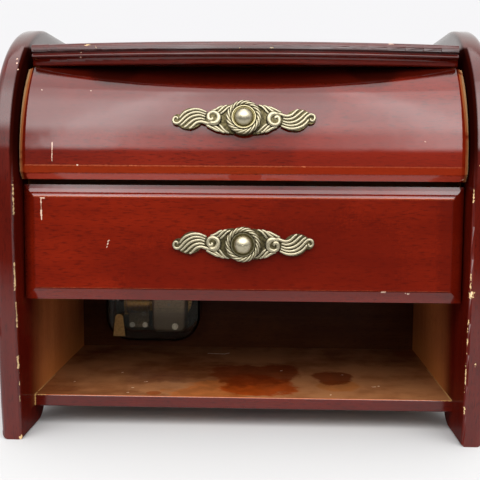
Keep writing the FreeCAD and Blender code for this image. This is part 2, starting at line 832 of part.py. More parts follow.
def pull(prefix, seat, grip):
    """Cast pull: scroll backplate with a rope ring, domed knob, and the screw through the drawer front."""
    y, z, tilt = seat
    slope = turn("X", -tilt)

    plate = body_named(f"{prefix}_pull_backplate")
    disc = sketch_on(plate, "XZ_Plane")
    circle(disc, (0, 0), D.pull_ring_r + D.pull_rope_r / 2)
    circle(disc, (0, 0), D.pull_hole_r)
    pad(plate, disc, D.pull_disc_t)
    rope = circle(sketch_on(plate, "XY_Plane"), (D.pull_ring_r, -D.pull_disc_t), D.pull_rope_r)
    revolve(plate, rope, "V_Axis")
    shoulder = outline(
        sketch_on(plate, "XZ_Plane"), (4.5, 7.4), (4.5, -7.6), Arc((16.8, -3.5), 22.0), (17.6, 2.3),
        Arc((4.5, 7.4), 22.0))
    wing = outline(
        sketch_on(plate, "XZ_Plane"), (16.6, 2.6), (16.0, -3.6), Arc((19.3, -2.8), 6.0, left=False),
        Arc((31.0, -2.2), 6.9), Arc((34.7, 0.2), 2.7), Arc((31.8, 3.1), 3.0), Arc((20.2, 1.5), 7.6),
        Arc((16.6, 2.6), 9.0, left=False))
    scroll = circle(sketch_on(plate, "XZ_Plane"), (D.scroll_x, -D.scroll_drop), D.scroll_r)
    halves = [
        pad(plate, shoulder, D.pull_plate_t),
        pad(plate, wing, D.pull_plate_t),
        pad(plate, scroll, D.scroll_t)]
    repeat_round(plate, halves, "Y_Axis", 2)
    place(plate, D.pull_x, y, z, slope)

    knob = body_named(f"{prefix}_pull_knob")
    base = -D.pull_disc_t
    rim = base - D.knob_rim_h
    dish = rim + D.knob_rim_h / 2
    tip = base - D.knob_high
    bore_end = base - D.knob_high / 2
    dome_r = bow_radius(D.knob_dome_r, dish - tip)
    profile = outline(
        sketch_on(knob, "XY_Plane"), (D.pull_hole_r, base), (D.knob_base_r, base), (D.knob_base_r, rim),
        (D.knob_dish_r, rim), (D.knob_dish_r - D.knob_rim_h / 4, dish), (D.knob_dome_r, dish),
        Arc((0, tip), dome_r, left=False), (0, bore_end), (D.pull_hole_r, bore_end))
    revolve(knob, profile, "V_Axis")
    place(knob, D.pull_x, y, z, slope)

    # The screw's head bears on the back of the front board, or on the seat bored into it.
    screw = body_named(f"{prefix}_pull_screw")
    thread_end = -D.pull_disc_t - D.knob_high / 2
    turned = outline(
        sketch_on(screw, "XY_Plane"), (0, thread_end), (D.pull_screw_r, thread_end), (D.pull_screw_r, grip),
        (D.pull_head_r, grip), (D.pull_head_r, grip + D.pull_head_t), (0, grip + D.pull_head_t))
    revolve(screw, turned, "V_Axis")
    place(screw, D.pull_x, y, z, slope)


def drawers():
    """Both drawers with their boxes and pulls."""
    seats = pull_seats()
    lower_front()
    drawer_box("lower", D.lower_box_low, D.lower_box_high)
    pull("lower", seats["lower"], D.front_back - seats["lower"][0])
    upper_front()
    drawer_box("upper", D.upper_box_low, D.upper_box_high)
    pull("upper", seats["upper"], D.spot_seat)


# Music movement


def bed_front():
    """Front face of the movement's bedplate."""
    return D.panel_rear - D.back_t - D.bed_t


def cylinder_y():
    """Depth of the cylinder's axis: its pinion rolls on the main wheel's face teeth."""
    return D.mesh_y - D.pinion_r


def governor_z():
    """Height of the governor wheel's axis above the cylinder's."""
    return D.arbor_z + D.spur_r + D.governor_r + D.mesh_slack


def fly_place():
    """Where the fly's upright spindle stands: x and y, beside the worm wheel's teeth."""
    clear = D.worm_r + D.worm_tip + D.fly_spindle_r + D.mesh_slack
    return D.worm_left + D.worm_w / 2, cylinder_y() - clear


def movement_screw_places():
    """Where the three screws through the back panel hold the bedplate: x and z."""
    high = D.case_high - 7
    return [(D.case_left + 10, high), (D.case_right - 8, high), (D.comb_left + 8, D.comb_low + 7)]


def movement_case():
    """Clear cover with large lower corners, open to the back panel, bored for the stop lever."""
    body = body_named("movement_cover")
    seat = D.panel_rear - D.back_t
    x, z = (D.case_left, D.case_right), (D.case_low, D.case_high)
    shell = sketch_on(body, "XZ_Plane", -seat)
    pad(body, rounded_rectangle(shell, x, z, D.case_corner_low, D.case_corner_high), D.case_depth)
    dress("Fillet", body, D.case_edge, in_plane("Y", (seat - D.case_depth).value))
    wall = D.case_wall
    hollow = sketch_on(body, "XZ_Plane", -seat)
    rounded_rectangle(hollow, (x[0] + wall, x[1] - wall), (z[0] + wall, z[1] - wall),
                      D.case_corner_low - wall, D.case_corner_high - wall)
    pocket(body, hollow, D.case_depth - wall, reverse=True)
    hole = circle(sketch_on(body, "XZ_Plane", -seat), (D.stop_x, D.stop_z), D.small_hole_r)
    pocket(body, hole, 2 * D.case_depth, reverse=True)


def bedplate():
    """Cast bedplate: arbor and screw holes, comb seat, and the bearing post at the cylinder's far end."""
    body = body_named("movement_bedplate")
    seat = D.panel_rear - D.back_t
    inset = D.case_wall + D.bed_gap
    plate = sketch_on(body, "XZ_Plane", -seat)
    rounded_rectangle(
        plate, (D.case_left + inset, D.case_right - inset), (D.case_low + inset, D.case_high - inset),
        D.case_corner_low - inset, D.case_corner_high - inset / 2)
    circle(plate, (D.arbor_x, D.arbor_z), D.arbor_hole_r)
    circle(plate, (D.stop_x, D.stop_z), D.small_hole_r)
    for x, z in movement_screw_places():
        circle(plate, (x, z), D.fix_hole_r)
    pad(body, plate, D.bed_t)
    front = bed_front()
    comb_back = cylinder_y() + D.comb_t / 2
    comb_seat = sketch_on(body, "XZ_Plane", -front)
    rectangle(comb_seat, (D.comb_left, D.comb_right), (D.comb_low, D.comb_root))
    for x in comb_screw_places():
        circle(comb_seat, (x, D.comb_screw_z), D.small_hole_r)
    pad(body, comb_seat, front - comb_back)
    post = sketch_on(body, "YZ_Plane", D.axle_left)
    reach = 4.0
    rectangle(post, (cylinder_y() - reach, front), (D.arbor_z - reach, D.arbor_z + reach))
    circle(post, (cylinder_y(), D.arbor_z), D.pivot_hole_r)
    pad(body, post, D.bracket_t)


def spring_housing():
    """Drawn steel housing of the mainspring, standing on four legs over the main wheel."""
    body = body_named("spring_housing")
    front = bed_front()
    x = (D.arbor_x - D.housing_half_x, D.arbor_x + D.housing_half_x)
    z = (D.arbor_z - D.housing_half_z, D.arbor_z + D.housing_half_z)
    wall, corner = D.housing_wall, D.housing_corner
    pad(body, rounded_rectangle(sketch_on(body, "XZ_Plane", -front), x, z, corner, corner), D.housing_depth)
    dress("Fillet", body, corner / 2, in_plane("Y", (front - D.housing_depth).value))
    hollow = sketch_on(body, "XZ_Plane", -front)
    rounded_rectangle(
        hollow, (x[0] + wall, x[1] - wall), (z[0] + wall, z[1] - wall), corner - wall, corner - wall)
    pocket(body, hollow, D.housing_depth - wall, reverse=True)
    clear = D.wheel_tooth_out + wall
    slot = sketch_on(body, "YZ_Plane", D.arbor_x)
    rectangle(slot, (front - D.housing_slot, front + wall), (D.arbor_z - clear, D.arbor_z + clear))
    pocket(body, slot, 4 * D.housing_half_x, symmetric=True)
    pivot = circle(sketch_on(body, "XZ_Plane", -front), (D.arbor_x, D.arbor_z), D.pivot_hole_r)
    for place_x, place_z in housing_screw_places():
        circle(pivot, (place_x, place_z), D.small_hole_r)
    pocket(body, pivot, 2 * D.housing_depth, reverse=True)
    bearing = circle(sketch_on(body, "YZ_Plane", x[0]), (cylinder_y(), D.arbor_z), D.pivot_hole_r)
    pocket(body, bearing, 2 * wall, reverse=True)


def housing_screw_places():
    """Two screws in opposite corners of the spring housing: x and z."""
    dx, dz = D.housing_corner, D.housing_half_z - D.housing_corner
    return [(D.arbor_x + dx, D.arbor_z - dz), (D.arbor_x - dx, D.arbor_z + dz)]


def mainspring():
    """Coiled steel strip: half turns of growing radius about two centres, closed at both ends."""
    pitch, thickness = DIMENSIONS["spring_pitch"], DIMENSIONS["spring_t"]
    half_turns = 2 * DIMENSIONS["spring_turns"]
    outer_r = DIMENSIONS["housing_half_x"] - DIMENSIONS["housing_wall"]
    inner_r = outer_r - thickness - half_turns * pitch / 2
    up = FreeCAD.Vector(0, 0, 1)

    def coil(first_r):
        arcs = []
        for index in range(half_turns):
            radius = first_r + index * pitch / 2
            side = 1 if index % 2 == 0 else -1
            centre = FreeCAD.Vector(0 if index % 2 == 0 else pitch / 2, 0, 0)
            ends = [centre + FreeCAD.Vector(radius * step, 0, 0) for step in (side, -side)]
            middle = centre + FreeCAD.Vector(0, radius * side, 0)
            arcs.append(Part.Arc(ends[0], middle, ends[1]).toShape())
        return arcs

    inside, outside = coil(inner_r), coil(inner_r + thickness)
    caps = [
        Part.makeLine(inside[end].Vertexes[end].Point, outside[end].Vertexes[end].Point)
        for end in (0, -1)]
    strip = Part.Face(Part.Wire(Part.__sortEdges__(inside + outside + caps)))
    feature = DOC.addObject("Part::Feature", "mainspring")
    feature.Shape = strip.extrude(up * DIMENSIONS["spring_h"])
    middle = FreeCAD.Vector(DIMENSIONS["arbor_x"], DIMENSIONS["spring_back"], DIMENSIONS["arbor_z"])
    feature.Placement = FreeCAD.Placement(middle, turn("X", 90))
    publish("mainspring", feature)


def tooth_outline(sketch, centre, tip, foot, half_tip, half_foot):
    """A trapezoid tooth along the sketch's first axis, from foot to tip about a centre line."""
    outline(sketch, (foot, centre - half_foot), (tip, centre - half_tip), (tip, centre + half_tip),
            (foot, centre + half_foot))
    return sketch


def spur_teeth(body, count, pitch_r, tip, depth, start, width, bury=0.3):
    """A disc with straight teeth round the X axis.

    Args:
        body: body that gets the wheel.
        count: number of teeth.
        pitch_r: pitch radius.
        tip: height of a tooth above the pitch circle.
        depth: depth of a tooth below it.
        start: where the wheel starts along X.
        width: width along X.
        bury: how far a tooth's foot reaches into the disc.
    """
    pad(body, circle(sketch_on(body, "YZ_Plane", start), (0, 0), pitch_r - depth), width)
    half_pitch = pitch_r * (math.pi / count)
    tooth = tooth_outline(sketch_on(body, "YZ_Plane", start), size(0), pitch_r + tip, pitch_r - depth - bury,
                          half_pitch * 0.17, half_pitch * 0.5)
    repeat_round(body, [pad(body, tooth, width)], "X_Axis", count)


def main_wheel():
    """Contrate wheel on the winding arbor: flat web with teeth standing forward on its rim."""
    body = body_named("main_wheel")
    web = sketch_on(body, "XZ_Plane", -D.wheel_web_back)
    circle(web, (0, 0), D.wheel_tooth_out)
    circle(web, (0, 0), D.arbor_r)
    pad(body, web, D.wheel_web_back - D.wheel_root)
    half_pitch = (D.wheel_tooth_in + D.wheel_tooth_out) / 2 * (math.pi / D.wheel_teeth.value)
    tooth = sketch_on(body, "YZ_Plane", -D.wheel_tooth_out)
    tooth_outline(tooth, size(0), D.wheel_tip, D.wheel_root + 0.3, half_pitch * 0.2, half_pitch * 0.46)
    first = pad(body, tooth, D.wheel_tooth_out - D.wheel_tooth_in)
    repeat_round(body, [first], "Y_Axis", D.wheel_teeth.value)
    place(body, D.arbor_x, 0, D.arbor_z)


def winding_arbor():
    """Stepped arbor from its pivot in the spring housing out through the back panel."""
    body = body_named("winding_arbor")
    tip = bed_front() - D.housing_depth
    neck = tip + D.housing_wall + D.mesh_slack
    rear = (D.key_neck + D.key_rear) / 2
    profile = outline(
        sketch_on(body, "XY_Plane"), (0, tip), (D.arbor_pivot_r, tip), (D.arbor_pivot_r, neck),
        (D.arbor_r, neck), (D.arbor_r, rear), (0, rear))
    revolve(body, profile, "V_Axis")
    place(body, D.arbor_x, 0, D.arbor_z)


def winding_key():
    """Butterfly key: turned hub and a flat grip with two round lobes."""
    body = body_named("winding_key")
    bore_end = (D.key_neck + D.key_rear) / 2
    hub = outline(
        sketch_on(body, "XY_Plane"), (D.arbor_r, D.key_hub_front), (D.key_hub_r, D.key_hub_front),
        (D.key_hub_r, bore_end + D.key_t), (0, bore_end + D.key_t), (0, bore_end), (D.arbor_r, bore_end))
    revolve(body, hub, "V_Axis")
    lobe = D.key_lobe_r
    left, right = lobe - D.key_half, D.key_half - lobe
    low, high = D.key_rear - 2 * lobe, D.key_rear
    waist = D.key_rear - lobe / 2
    reach = D.key_hub_r - D.key_t / 2
    lobe_low = D.key_rear - lobe
    grip = outline(
        sketch_on(body, "XY_Plane", -D.key_t / 2), (reach, D.key_neck), (right, low),
        Arc((D.key_half, lobe_low), lobe), Arc((right, high), lobe), Arc((reach, waist), 2 * lobe),
        (-reach, waist), Arc((left, high), 2 * lobe), Arc((-D.key_half, lobe_low), lobe),
        Arc((left, low), lobe), (-reach, D.key_neck))
    pad(body, grip, D.key_t)
    bore = circle(sketch_on(body, "XZ_Plane", -bore_end), (0, 0), D.arbor_r)
    pocket(body, bore, D.key_rear, reverse=True)
    place(body, D.arbor_x, 0, D.arbor_z)


def tune_cylinder():
    """Brass tube with its end pieces: the pinion towards the spring, the spur wheel towards the governor."""
    axis = {"y": cylinder_y(), "z": D.arbor_z}
    tube = body_named("tune_cylinder")
    ring = sketch_on(tube, "YZ_Plane", D.cyl_left)
    circle(ring, (0, 0), D.cyl_r)
    circle(ring, (0, 0), D.cyl_r - D.cyl_wall)
    pad(tube, ring, D.cyl_right - D.cyl_left)
    place(tube, 0, **axis)

    def end_piece(label, teeth, wheel, plug, twist):
        body = body_named(label)
        spur_teeth(body, *teeth, *wheel)
        pad(body, circle(sketch_on(body, "YZ_Plane", plug[0]), (0, 0), D.cyl_r - D.cyl_wall), plug[1])
        hole = circle(sketch_on(body, "YZ_Plane", wheel[0]), (0, 0), D.axle_r)
        pocket(body, hole, 4 * D.cyl_r, symmetric=True)
        place(body, 0, **axis, rotation=turn("X", twist))

    pinion_teeth, spur_count = DIMENSIONS["pinion_teeth"], DIMENSIONS["spur_teeth"]
    end_piece("cylinder_pinion", (pinion_teeth, D.pinion_r, D.pinion_tip, D.pinion_root),
              (D.pinion_left, D.pinion_w),
              (D.cyl_right - D.cyl_plug, D.pinion_left - D.cyl_right + D.cyl_plug), 180.0 / pinion_teeth)
    end_piece("cylinder_wheel", (spur_count, D.spur_r, D.small_tip, D.small_root),
              (D.spur_left, D.spur_w),
              (D.spur_left + D.spur_w, D.cyl_left + D.cyl_plug - D.spur_left - D.spur_w), 90.0)
    axle = rod(D.axle_r, D.axle_right - D.axle_left, "X", D.axle_left, cylinder_y(), D.arbor_z)
    publish("cylinder_axle", axle)


def governor():
    """Governor: bracket, pinion arbor, worm wheel and the fly that brakes in the air."""
    axis = {"y": cylinder_y(), "z": governor_z()}
    half = D.bracket_t / 2
    count = DIMENSIONS["governor_teeth"]
    arbor = body_named("governor_arbor")
    spur_teeth(arbor, count, D.governor_r, D.small_tip, D.small_root, D.governor_left, D.governor_w, bury=0.2)
    first, last = D.bracket_left + half / 2, D.bracket_right - half / 2
    pad(arbor, circle(sketch_on(arbor, "YZ_Plane", first), (0, 0), D.governor_axle_r), last - first)
    place(arbor, 0, **axis, rotation=turn("X", 180.0 / count - 90.0))

    worm = body_named("governor_worm_wheel")
    spur_teeth(worm, DIMENSIONS["worm_teeth"], D.worm_r, D.worm_tip, 2 * D.worm_tip, D.worm_left, D.worm_w)
    hole = circle(sketch_on(worm, "YZ_Plane", D.worm_left), (0, 0), D.governor_axle_r)
    pocket(worm, hole, 4 * D.worm_w, symmetric=True)
    place(worm, 0, **axis)

    fly_x, fly_y = fly_place()
    fly = body_named("governor_fly")
    low, high = D.fly_low, D.fly_high
    spindle = outline(
        sketch_on(fly, "XZ_Plane"), (0, low - half), (D.fly_pivot_r, low - half), (D.fly_pivot_r, low),
        (D.fly_spindle_r, low), (D.fly_spindle_r, high), (D.fly_pivot_r, high), (D.fly_pivot_r, high + half),
        (0, high + half))
    revolve(fly, spindle, "V_Axis")
    vane = sketch_on(fly, "XZ_Plane")
    rectangle(vane, (-D.fly_vane_half, D.fly_vane_half), (D.fly_vane_low, D.fly_vane_high))
    pad(fly, vane, D.fly_vane_t, symmetric=True)
    place(fly, fly_x, fly_y, 0)

    bracket = body_named("governor_bracket")
    front = bed_front()
    thick = D.bracket_t
    foot_low = governor_z() - 1
    foot = sketch_on(bracket, "XZ_Plane", -front)
    rectangle(foot, (D.bracket_left, D.bracket_right), (foot_low, D.fly_high + thick))
    pad(bracket, foot, thick)
    arm_front = fly_y - 1.2
    for start, low_z, high_z, reach in (
            (D.bracket_left, D.fly_low - thick, D.fly_high + thick, arm_front),
            (D.bracket_right - thick, foot_low, governor_z() + 1.6, cylinder_y() - 2)):
        arm = sketch_on(bracket, "YZ_Plane", start)
        rectangle(arm, (reach, front), (low_z, high_z))
        circle(arm, (cylinder_y(), governor_z()), D.governor_axle_r + D.mesh_slack)
        pad(bracket, arm, thick)
    for start in (D.fly_low - thick, D.fly_high + D.mesh_slack):
        shelf = sketch_on(bracket, "XY_Plane", start)
        rectangle(shelf, (D.bracket_left, fly_x + 1.5), (arm_front, fly_y + 1.2))
        circle(shelf, (fly_x, fly_y), D.fly_pivot_r + D.mesh_slack)
        pad(bracket, shelf, thick - D.mesh_slack)


def comb_screw_places():
    """The comb's two screws along X."""
    return [D.comb_left + D.comb_screw_in, D.comb_right - D.comb_screw_in]


def comb():
    """Steel comb: a plate slit into teeth whose tips stand just off the cylinder."""
    body = body_named("music_comb")
    back = cylinder_y() + D.comb_t / 2
    tip = D.arbor_z - D.cyl_r - D.comb_gap
    plate = sketch_on(body, "XZ_Plane", -back)
    rectangle(plate, (D.comb_left, D.comb_right), (D.comb_low, tip))
    for x in comb_screw_places():
        circle(plate, (x, D.comb_screw_z), D.small_hole_r)
    pad(body, plate, D.comb_t)
    pitch = (D.comb_right - D.comb_left) / D.comb_teeth
    first = D.comb_left + pitch
    slit = sketch_on(body, "XZ_Plane", -back)
    rectangle(slit, (first - D.comb_slit / 2, first + D.comb_slit / 2), (D.comb_root, tip + D.comb_gap))
    cut = pocket(body, slit, D.comb_t, reverse=True)
    pattern = body.newObject("PartDesign::LinearPattern", "Slits")
    pattern.Originals = [cut]
    pattern.Direction = (origin_feature(body, "X_Axis"), [""])
    slits = DIMENSIONS["comb_teeth"] - 1
    bind(pattern, "Length", pitch * (slits - 1))
    pattern.Occurrences = slits
    body.Tip = pattern
    seat = back - D.comb_t
    screws("comb_screws", [(x, seat, D.comb_screw_z) for x in comb_screw_places()], "Y",
           (1.7 * D.small_screw_r, D.small_screw_r), (D.small_screw_r, 5 * D.small_screw_r))


def stop_lever():
    """Brass tag in front of the cover on a shaft that reaches through it to the bedplate."""
    body = body_named("stop_lever")
    half, foot = D.stop_half, D.stop_foot_half
    low = D.stop_z - D.stop_drop
    tag = outline(
        sketch_on(body, "XZ_Plane", -D.stop_face - D.stop_t), (D.stop_x - foot, low), (D.stop_x + foot, low),
        (D.stop_x + half, D.stop_z), Arc((D.stop_x, D.stop_z + half), half),
        Arc((D.stop_x - half, D.stop_z), half))
    pad(body, tag, D.stop_t)
    rear = bed_front() + D.bed_t / 2
    shaft = circle(sketch_on(body, "XZ_Plane", -rear), (D.stop_x, D.stop_z), D.stop_shaft_r)
    pad(body, shaft, rear - D.stop_face)


def movement_screws():
    """Screws that hold the bedplate through the back panel, and those of the spring housing."""
    places = [(x, D.panel_rear, z) for x, z in movement_screw_places()]
    screws("movement_screws", places, "-Y", (D.fix_head_r, D.fix_head_t), (D.fix_r, D.back_t + D.bed_t / 2))
    face = bed_front() - D.housing_depth
    places = [(x, face, z) for x, z in housing_screw_places()]
    screws("housing_screws", places, "Y", (2 * D.small_screw_r, D.small_screw_r),
           (D.small_screw_r, 2 * D.small_screw_r))


def movement():
    """The whole music movement on the back panel."""
    movement_case()
    bedplate()
    spring_housing()
    mainspring()
    winding_arbor()
    main_wheel()
    winding_key()
    tune_cylinder()
    governor()
    comb()
    stop_lever()
    movement_screws()


def check():
    """Stop if any object failed or any sub-part is not a valid solid."""
    DOC.recompute()
    for obj in DOC.Objects:
        if "Invalid" in obj.State or "Error" in obj.State:
            raise RuntimeError(f"{obj.Label} ({obj.Name}) failed: {obj.State} {obj.getStatusString()}")
    for label, obj in NODES.items():
        if obj.Shape.isNull() or not obj.Shape.isValid() or not obj.Shape.Solids:
            raise RuntimeError(f"{label} has no valid solid")


def main():
    """Build the chest, check it and write one file for each sub-part."""
    make_sheet()
    side_panels()
    back_panel()
    bottom_shelf()
    inner_boards()
    lid_board()
    hinges()
    drawers()
    movement()
    check()
    os.makedirs("parts", exist_ok=True)
    for label, obj in NODES.items():
        obj.Shape.exportStep(os.path.join("parts", f"{label}.step"))
    print(f"{len(NODES)} sub-parts written")


if __name__ == "__main__":
    main()
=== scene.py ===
"""Looks of a musical jewellery chest: lacquered wood, cast pulls, felt, music movement, light and camera."""

import logging
import math
from dataclasses import dataclass
from enum import Enum

import bmesh
import bpy
import numpy as np
from mathutils import Euler, Matrix, Vector


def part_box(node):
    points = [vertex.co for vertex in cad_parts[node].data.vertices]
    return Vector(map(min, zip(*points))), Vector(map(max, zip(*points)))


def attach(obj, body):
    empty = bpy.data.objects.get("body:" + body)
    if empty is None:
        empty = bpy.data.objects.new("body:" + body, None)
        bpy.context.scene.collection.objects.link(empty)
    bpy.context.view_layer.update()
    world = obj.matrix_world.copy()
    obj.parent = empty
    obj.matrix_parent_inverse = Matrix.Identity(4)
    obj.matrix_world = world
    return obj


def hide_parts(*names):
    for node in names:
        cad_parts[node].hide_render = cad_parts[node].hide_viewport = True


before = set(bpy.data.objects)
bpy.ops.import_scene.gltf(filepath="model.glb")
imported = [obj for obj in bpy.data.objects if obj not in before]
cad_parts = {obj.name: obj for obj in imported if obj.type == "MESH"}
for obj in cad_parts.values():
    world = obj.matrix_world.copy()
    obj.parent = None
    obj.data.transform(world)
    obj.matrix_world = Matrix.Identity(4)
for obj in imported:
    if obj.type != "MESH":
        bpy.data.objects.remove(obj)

LOG = logging.getLogger("chest")
MM = 0.001
MIX_COLOURS = (6, 7)
MIX_RESULT = 2
Point = tuple[float, float, float]
Colour = tuple[float, float, float]
Span = tuple[float, float]
Line = tuple[Span, ...]
Socket = bpy.types.NodeSocket
Material = bpy.types.Material
Mesh = bpy.types.Mesh
Value = float | Point | Colour | Socket

BARE_WOOD = (0.43, 0.235, 0.083)
DULL_BARE = (0.34, 0.185, 0.088)
PALE_SCUFF = (0.64, 0.42, 0.31)
CHIPPED = (0.60, 0.40, 0.20)
# Worn edges, with painted highlight lines along the arrises.
WORN_AND_LIT_EDGE = (0.36, 0.085, 0.035)
RUBBED_ORANGE = (0.46, 0.135, 0.050)
THICK_STAIN = (0.078, 0.0034, 0.0009)
THIN_STAIN = (0.21, 0.0120, 0.0025)
STAINED_BORDER = (0.27, 0.075, 0.024)
WARM_LIP = (0.27, 0.034, 0.006)
# Painted light from the floor on the curved front's downward-facing facet.
BOUNCE_LIT_LIP = (0.44, 0.052, 0.028)
LIT_LIP = (0.32, 0.050, 0.012)
WARM_FOOT = (0.80, 0.270, 0.060)
# Near-black painted shade: the lid's shadow on the curved front, the gaps at the flat front's ends, and the gap beside
# the lid's ends.
PAINTED_SHADE = (0.012, 0.0014, 0.0008)
# Grey on the panels' crests: dust, with a painted sheen of the light on their gloss.
CREST_DUST_AND_SHEEN = (0.125, 0.100, 0.092)
DUST_SPECK = (0.78, 0.58, 0.42)


class Grain(Enum):
    """Direction in which a board's grain runs."""

    ALONG_X = (0, 1, 1)
    ALONG_Y = (1, 0, 1)
    ALONG_Z = (1, 1, 0)

    def stretch(self, along: float, across: float) -> Point:
        """Pattern repeats per metre in each direction."""
        return tuple(across if step else along for step in self.value)


class Nodes:
    """Builder for one node tree: adds nodes, sets or links their inputs, and returns sockets."""

    def __init__(self, tree: bpy.types.NodeTree) -> None:
        """Keep the tree that is built."""
        self.tree = tree

    def add(self, kind: str, inputs: dict | None = None, **settings: object) -> bpy.types.Node:
        """Add a node.

        Args:
            kind: Blender's node type.
            inputs: value or socket for each input, by name or index.
            settings: the node's own properties.

        Returns:
            The new node.
        """
        node = self.tree.nodes.new(kind)
        for name, value in settings.items():
            setattr(node, name, value)
        for key, value in (inputs or {}).items():
            self.feed(node.inputs[key], value)
        return node

    def feed(self, socket: Socket, value: Value) -> None:
        """Link a socket into an input, or set the input to a value."""
        if isinstance(value, Socket):
            self.tree.links.new(value, socket)
        else:
            socket.default_value = value

    def math(self, operation: str, a: Value, b: Value = 0.0, clamp: bool = False) -> Socket:
        """Result of one of Blender's sums."""
        return self.add("ShaderNodeMath", {0: a, 1: b}, operation=operation, use_clamp=clamp).outputs[0]

    def plus(self, a: Value, b: Value) -> Socket:
        """Sum of two values."""
        return self.math("ADD", a, b)

    def minus(self, a: Value, b: Value) -> Socket:
        """First value less the second."""
        return self.math("SUBTRACT", a, b)

    def times(self, first: Value, *others: Value) -> Socket:
        """Product of two or more values."""
        for other in others:
            first = self.math("MULTIPLY", first, other)
        return first

    def most(self, a: Value, b: Value) -> Socket:
        """Greater of two values."""
        return self.math("MAXIMUM", a, b)

    def between(self, share: Value, low: float, high: float) -> Socket:
        """Value that runs from low to high as a share runs from 0 to 1."""
        return self.plus(self.times(share, high - low), low)

    def vector(self, operation: str, a: Value, b: Value = (0, 0, 0)) -> Socket:
        """Result of one of Blender's sums on vectors."""
        node = self.add("ShaderNodeVectorMath", {0: a, 1: b}, operation=operation)
        single = operation in ("DOT_PRODUCT", "LENGTH", "DISTANCE")
        return node.outputs["Value" if single else "Vector"]

    def step(self, value: Value, low: float, high: float) -> Socket:
        """Smooth step from 0 at low to 1 at high, or falling where low is the higher."""
        falls = low > high
        ends = {"To Min": float(falls), "To Max": float(not falls)}
        start, end = sorted((low, high))
        node = self.add(
            "ShaderNodeMapRange", {"Value": value, "From Min": start, "From Max": end, **ends},
            interpolation_type="SMOOTHSTEP")
        return node.outputs["Result"]

    def mix(self, share: Value, a: Value, b: Value) -> Socket:
        """Colour a blended with colour b."""
        node = self.add("ShaderNodeMix", {0: share}, data_type="RGBA")
        for index, colour in zip(MIX_COLOURS, (a, b)):
            flat = (colour, colour, colour) if isinstance(colour, float) else colour
            self.feed(node.inputs[index], flat if isinstance(flat, Socket) else (*flat, 1.0))
        return node.outputs[MIX_RESULT]

    def profile(self, value: Value, stops: Line) -> Socket:
        """Curve of a value through (value, level) stops, straight between them; the first stop is at 0."""
        span, peak = stops[-1][0], max(level for _, level in stops)
        node = self.add("ShaderNodeValToRGB", {"Fac": self.math("DIVIDE", value, span, clamp=True)})
        elements = node.color_ramp.elements
        for place, _ in stops[1:-1]:
            elements.new(place / span)
        for element, (_, level) in zip(elements, stops):
            element.color = (level / peak, level / peak, level / peak, 1.0)
        return self.times(node.outputs["Color"], peak)

    def noise(self, place: Value, scale: float, detail: float = 4.0, rough: float = 0.55) -> Socket:
        """Noise value at a place."""
        inputs = {"Vector": place, "Scale": scale, "Detail": detail, "Roughness": rough}
        return self.add("ShaderNodeTexNoise", inputs).outputs["Fac"]

    def scaled(self, place: Value, scale: Point) -> Socket:
        """Place stretched by a Mapping node."""
        return self.add("ShaderNodeMapping", {"Vector": place, "Scale": scale}).outputs["Vector"]

    def bump(self, height: Value, strength: float, depth: float, base: Socket | None = None) -> Socket:
        """Surface normal raised by a height, from a base normal where one is given."""
        inputs = {"Height": height, "Strength": strength, "Distance": depth}
        if base is not None:
            inputs["Normal"] = base
        return self.add("ShaderNodeBump", inputs).outputs["Normal"]


class Surface(Nodes):
    """Node tree of one material, with its shader and the object's own place in metres."""

    def __init__(self, name: str) -> None:
        """Start a material of that name."""
        self.material = bpy.data.materials.new(name)
        self.material.use_nodes = True
        super().__init__(self.material.node_tree)
        self.tree.nodes.clear()
        self.shader = self.add("ShaderNodeBsdfPrincipled")
        self.add("ShaderNodeOutputMaterial", {"Surface": self.shader.outputs[0]})
        self.place = self.add("ShaderNodeTexCoord").outputs["Object"]
        self.x, self.y, self.z = self.add("ShaderNodeSeparateXYZ", {0: self.place}).outputs

    def set(self, **inputs: Value) -> None:
        """Set the shader's inputs; an underscore in a name stands for a space."""
        for name, value in inputs.items():
            if isinstance(value, tuple) and len(value) == 3:
                value = (*value, 1.0)
            self.feed(self.shader.inputs[name.replace("_", " ")], value)

    def reach(self) -> Socket:
        """Distance to either side of the chest's middle."""
        return self.math("ABSOLUTE", self.x)


@dataclass(frozen=True)
class Mark:
    """A place where the finish is rubbed, chipped or stained, or where shade or light is painted: a line between two
    points, in millimetres.
    """

    start: Point
    end: Point
    tone: Colour
    width: float
    ragged: float = 0.35
    gaps: float = 0.0
    share: float = 1.0
    core: float = 0.6
    fray: float = 4.0
    breaks: float = 210.0
    break_edge: Span = (-0.04, 0.05)

    def mask(self, work: Surface, roughen: Socket) -> Socket:
        """Mask that is 1 on the mark, with a ragged edge and, where it has gaps, broken along its length.

        Args:
            work: the material.
            roughen: fine noise that frays the edge.

        Returns:
            The mask.
        """
        start = Vector(self.start) * MM
        run = Vector(self.end) * MM - start
        way = tuple(run.normalized())
        away = work.vector("SUBTRACT", work.place, tuple(start))
        along = work.vector("DOT_PRODUCT", away, way)
        held = work.math("MINIMUM", work.most(along, 0.0), run.length)
        nearest = work.add("ShaderNodeVectorMath", {0: way, "Scale": held}, operation="SCALE")
        gap = work.vector("DISTANCE", away, nearest.outputs["Vector"])
        wobble = work.times(work.minus(roughen, 0.5), self.fray * self.ragged * self.width * MM)
        shown = work.step(work.plus(gap, wobble), self.width * MM, self.core * self.width * MM)
        if self.gaps:
            edge = (self.gaps + shift for shift in self.break_edge)
            shown = work.times(shown, work.step(work.noise(work.place, self.breaks, 3.0), *edge))
        return work.times(shown, self.share)


def marks(tone: Colour, *rows: tuple[float, ...]) -> tuple[Mark, ...]:
    """Marks of one tone.

    Args:
        tone: their colour.
        rows: each mark's start, end and width, then its ragged edge, gaps and share where they aren't the usual.

    Returns:
        The marks in order.
    """
    return tuple(Mark(row[:3], row[3:6], tone, *row[6:]) for row in rows)


@dataclass(frozen=True)
class WoodTone:
    """Colours of a stained wood: between the pores, where the stain lies thick, and in the pores."""

    light: Colour
    dark: Colour
    pore: Colour


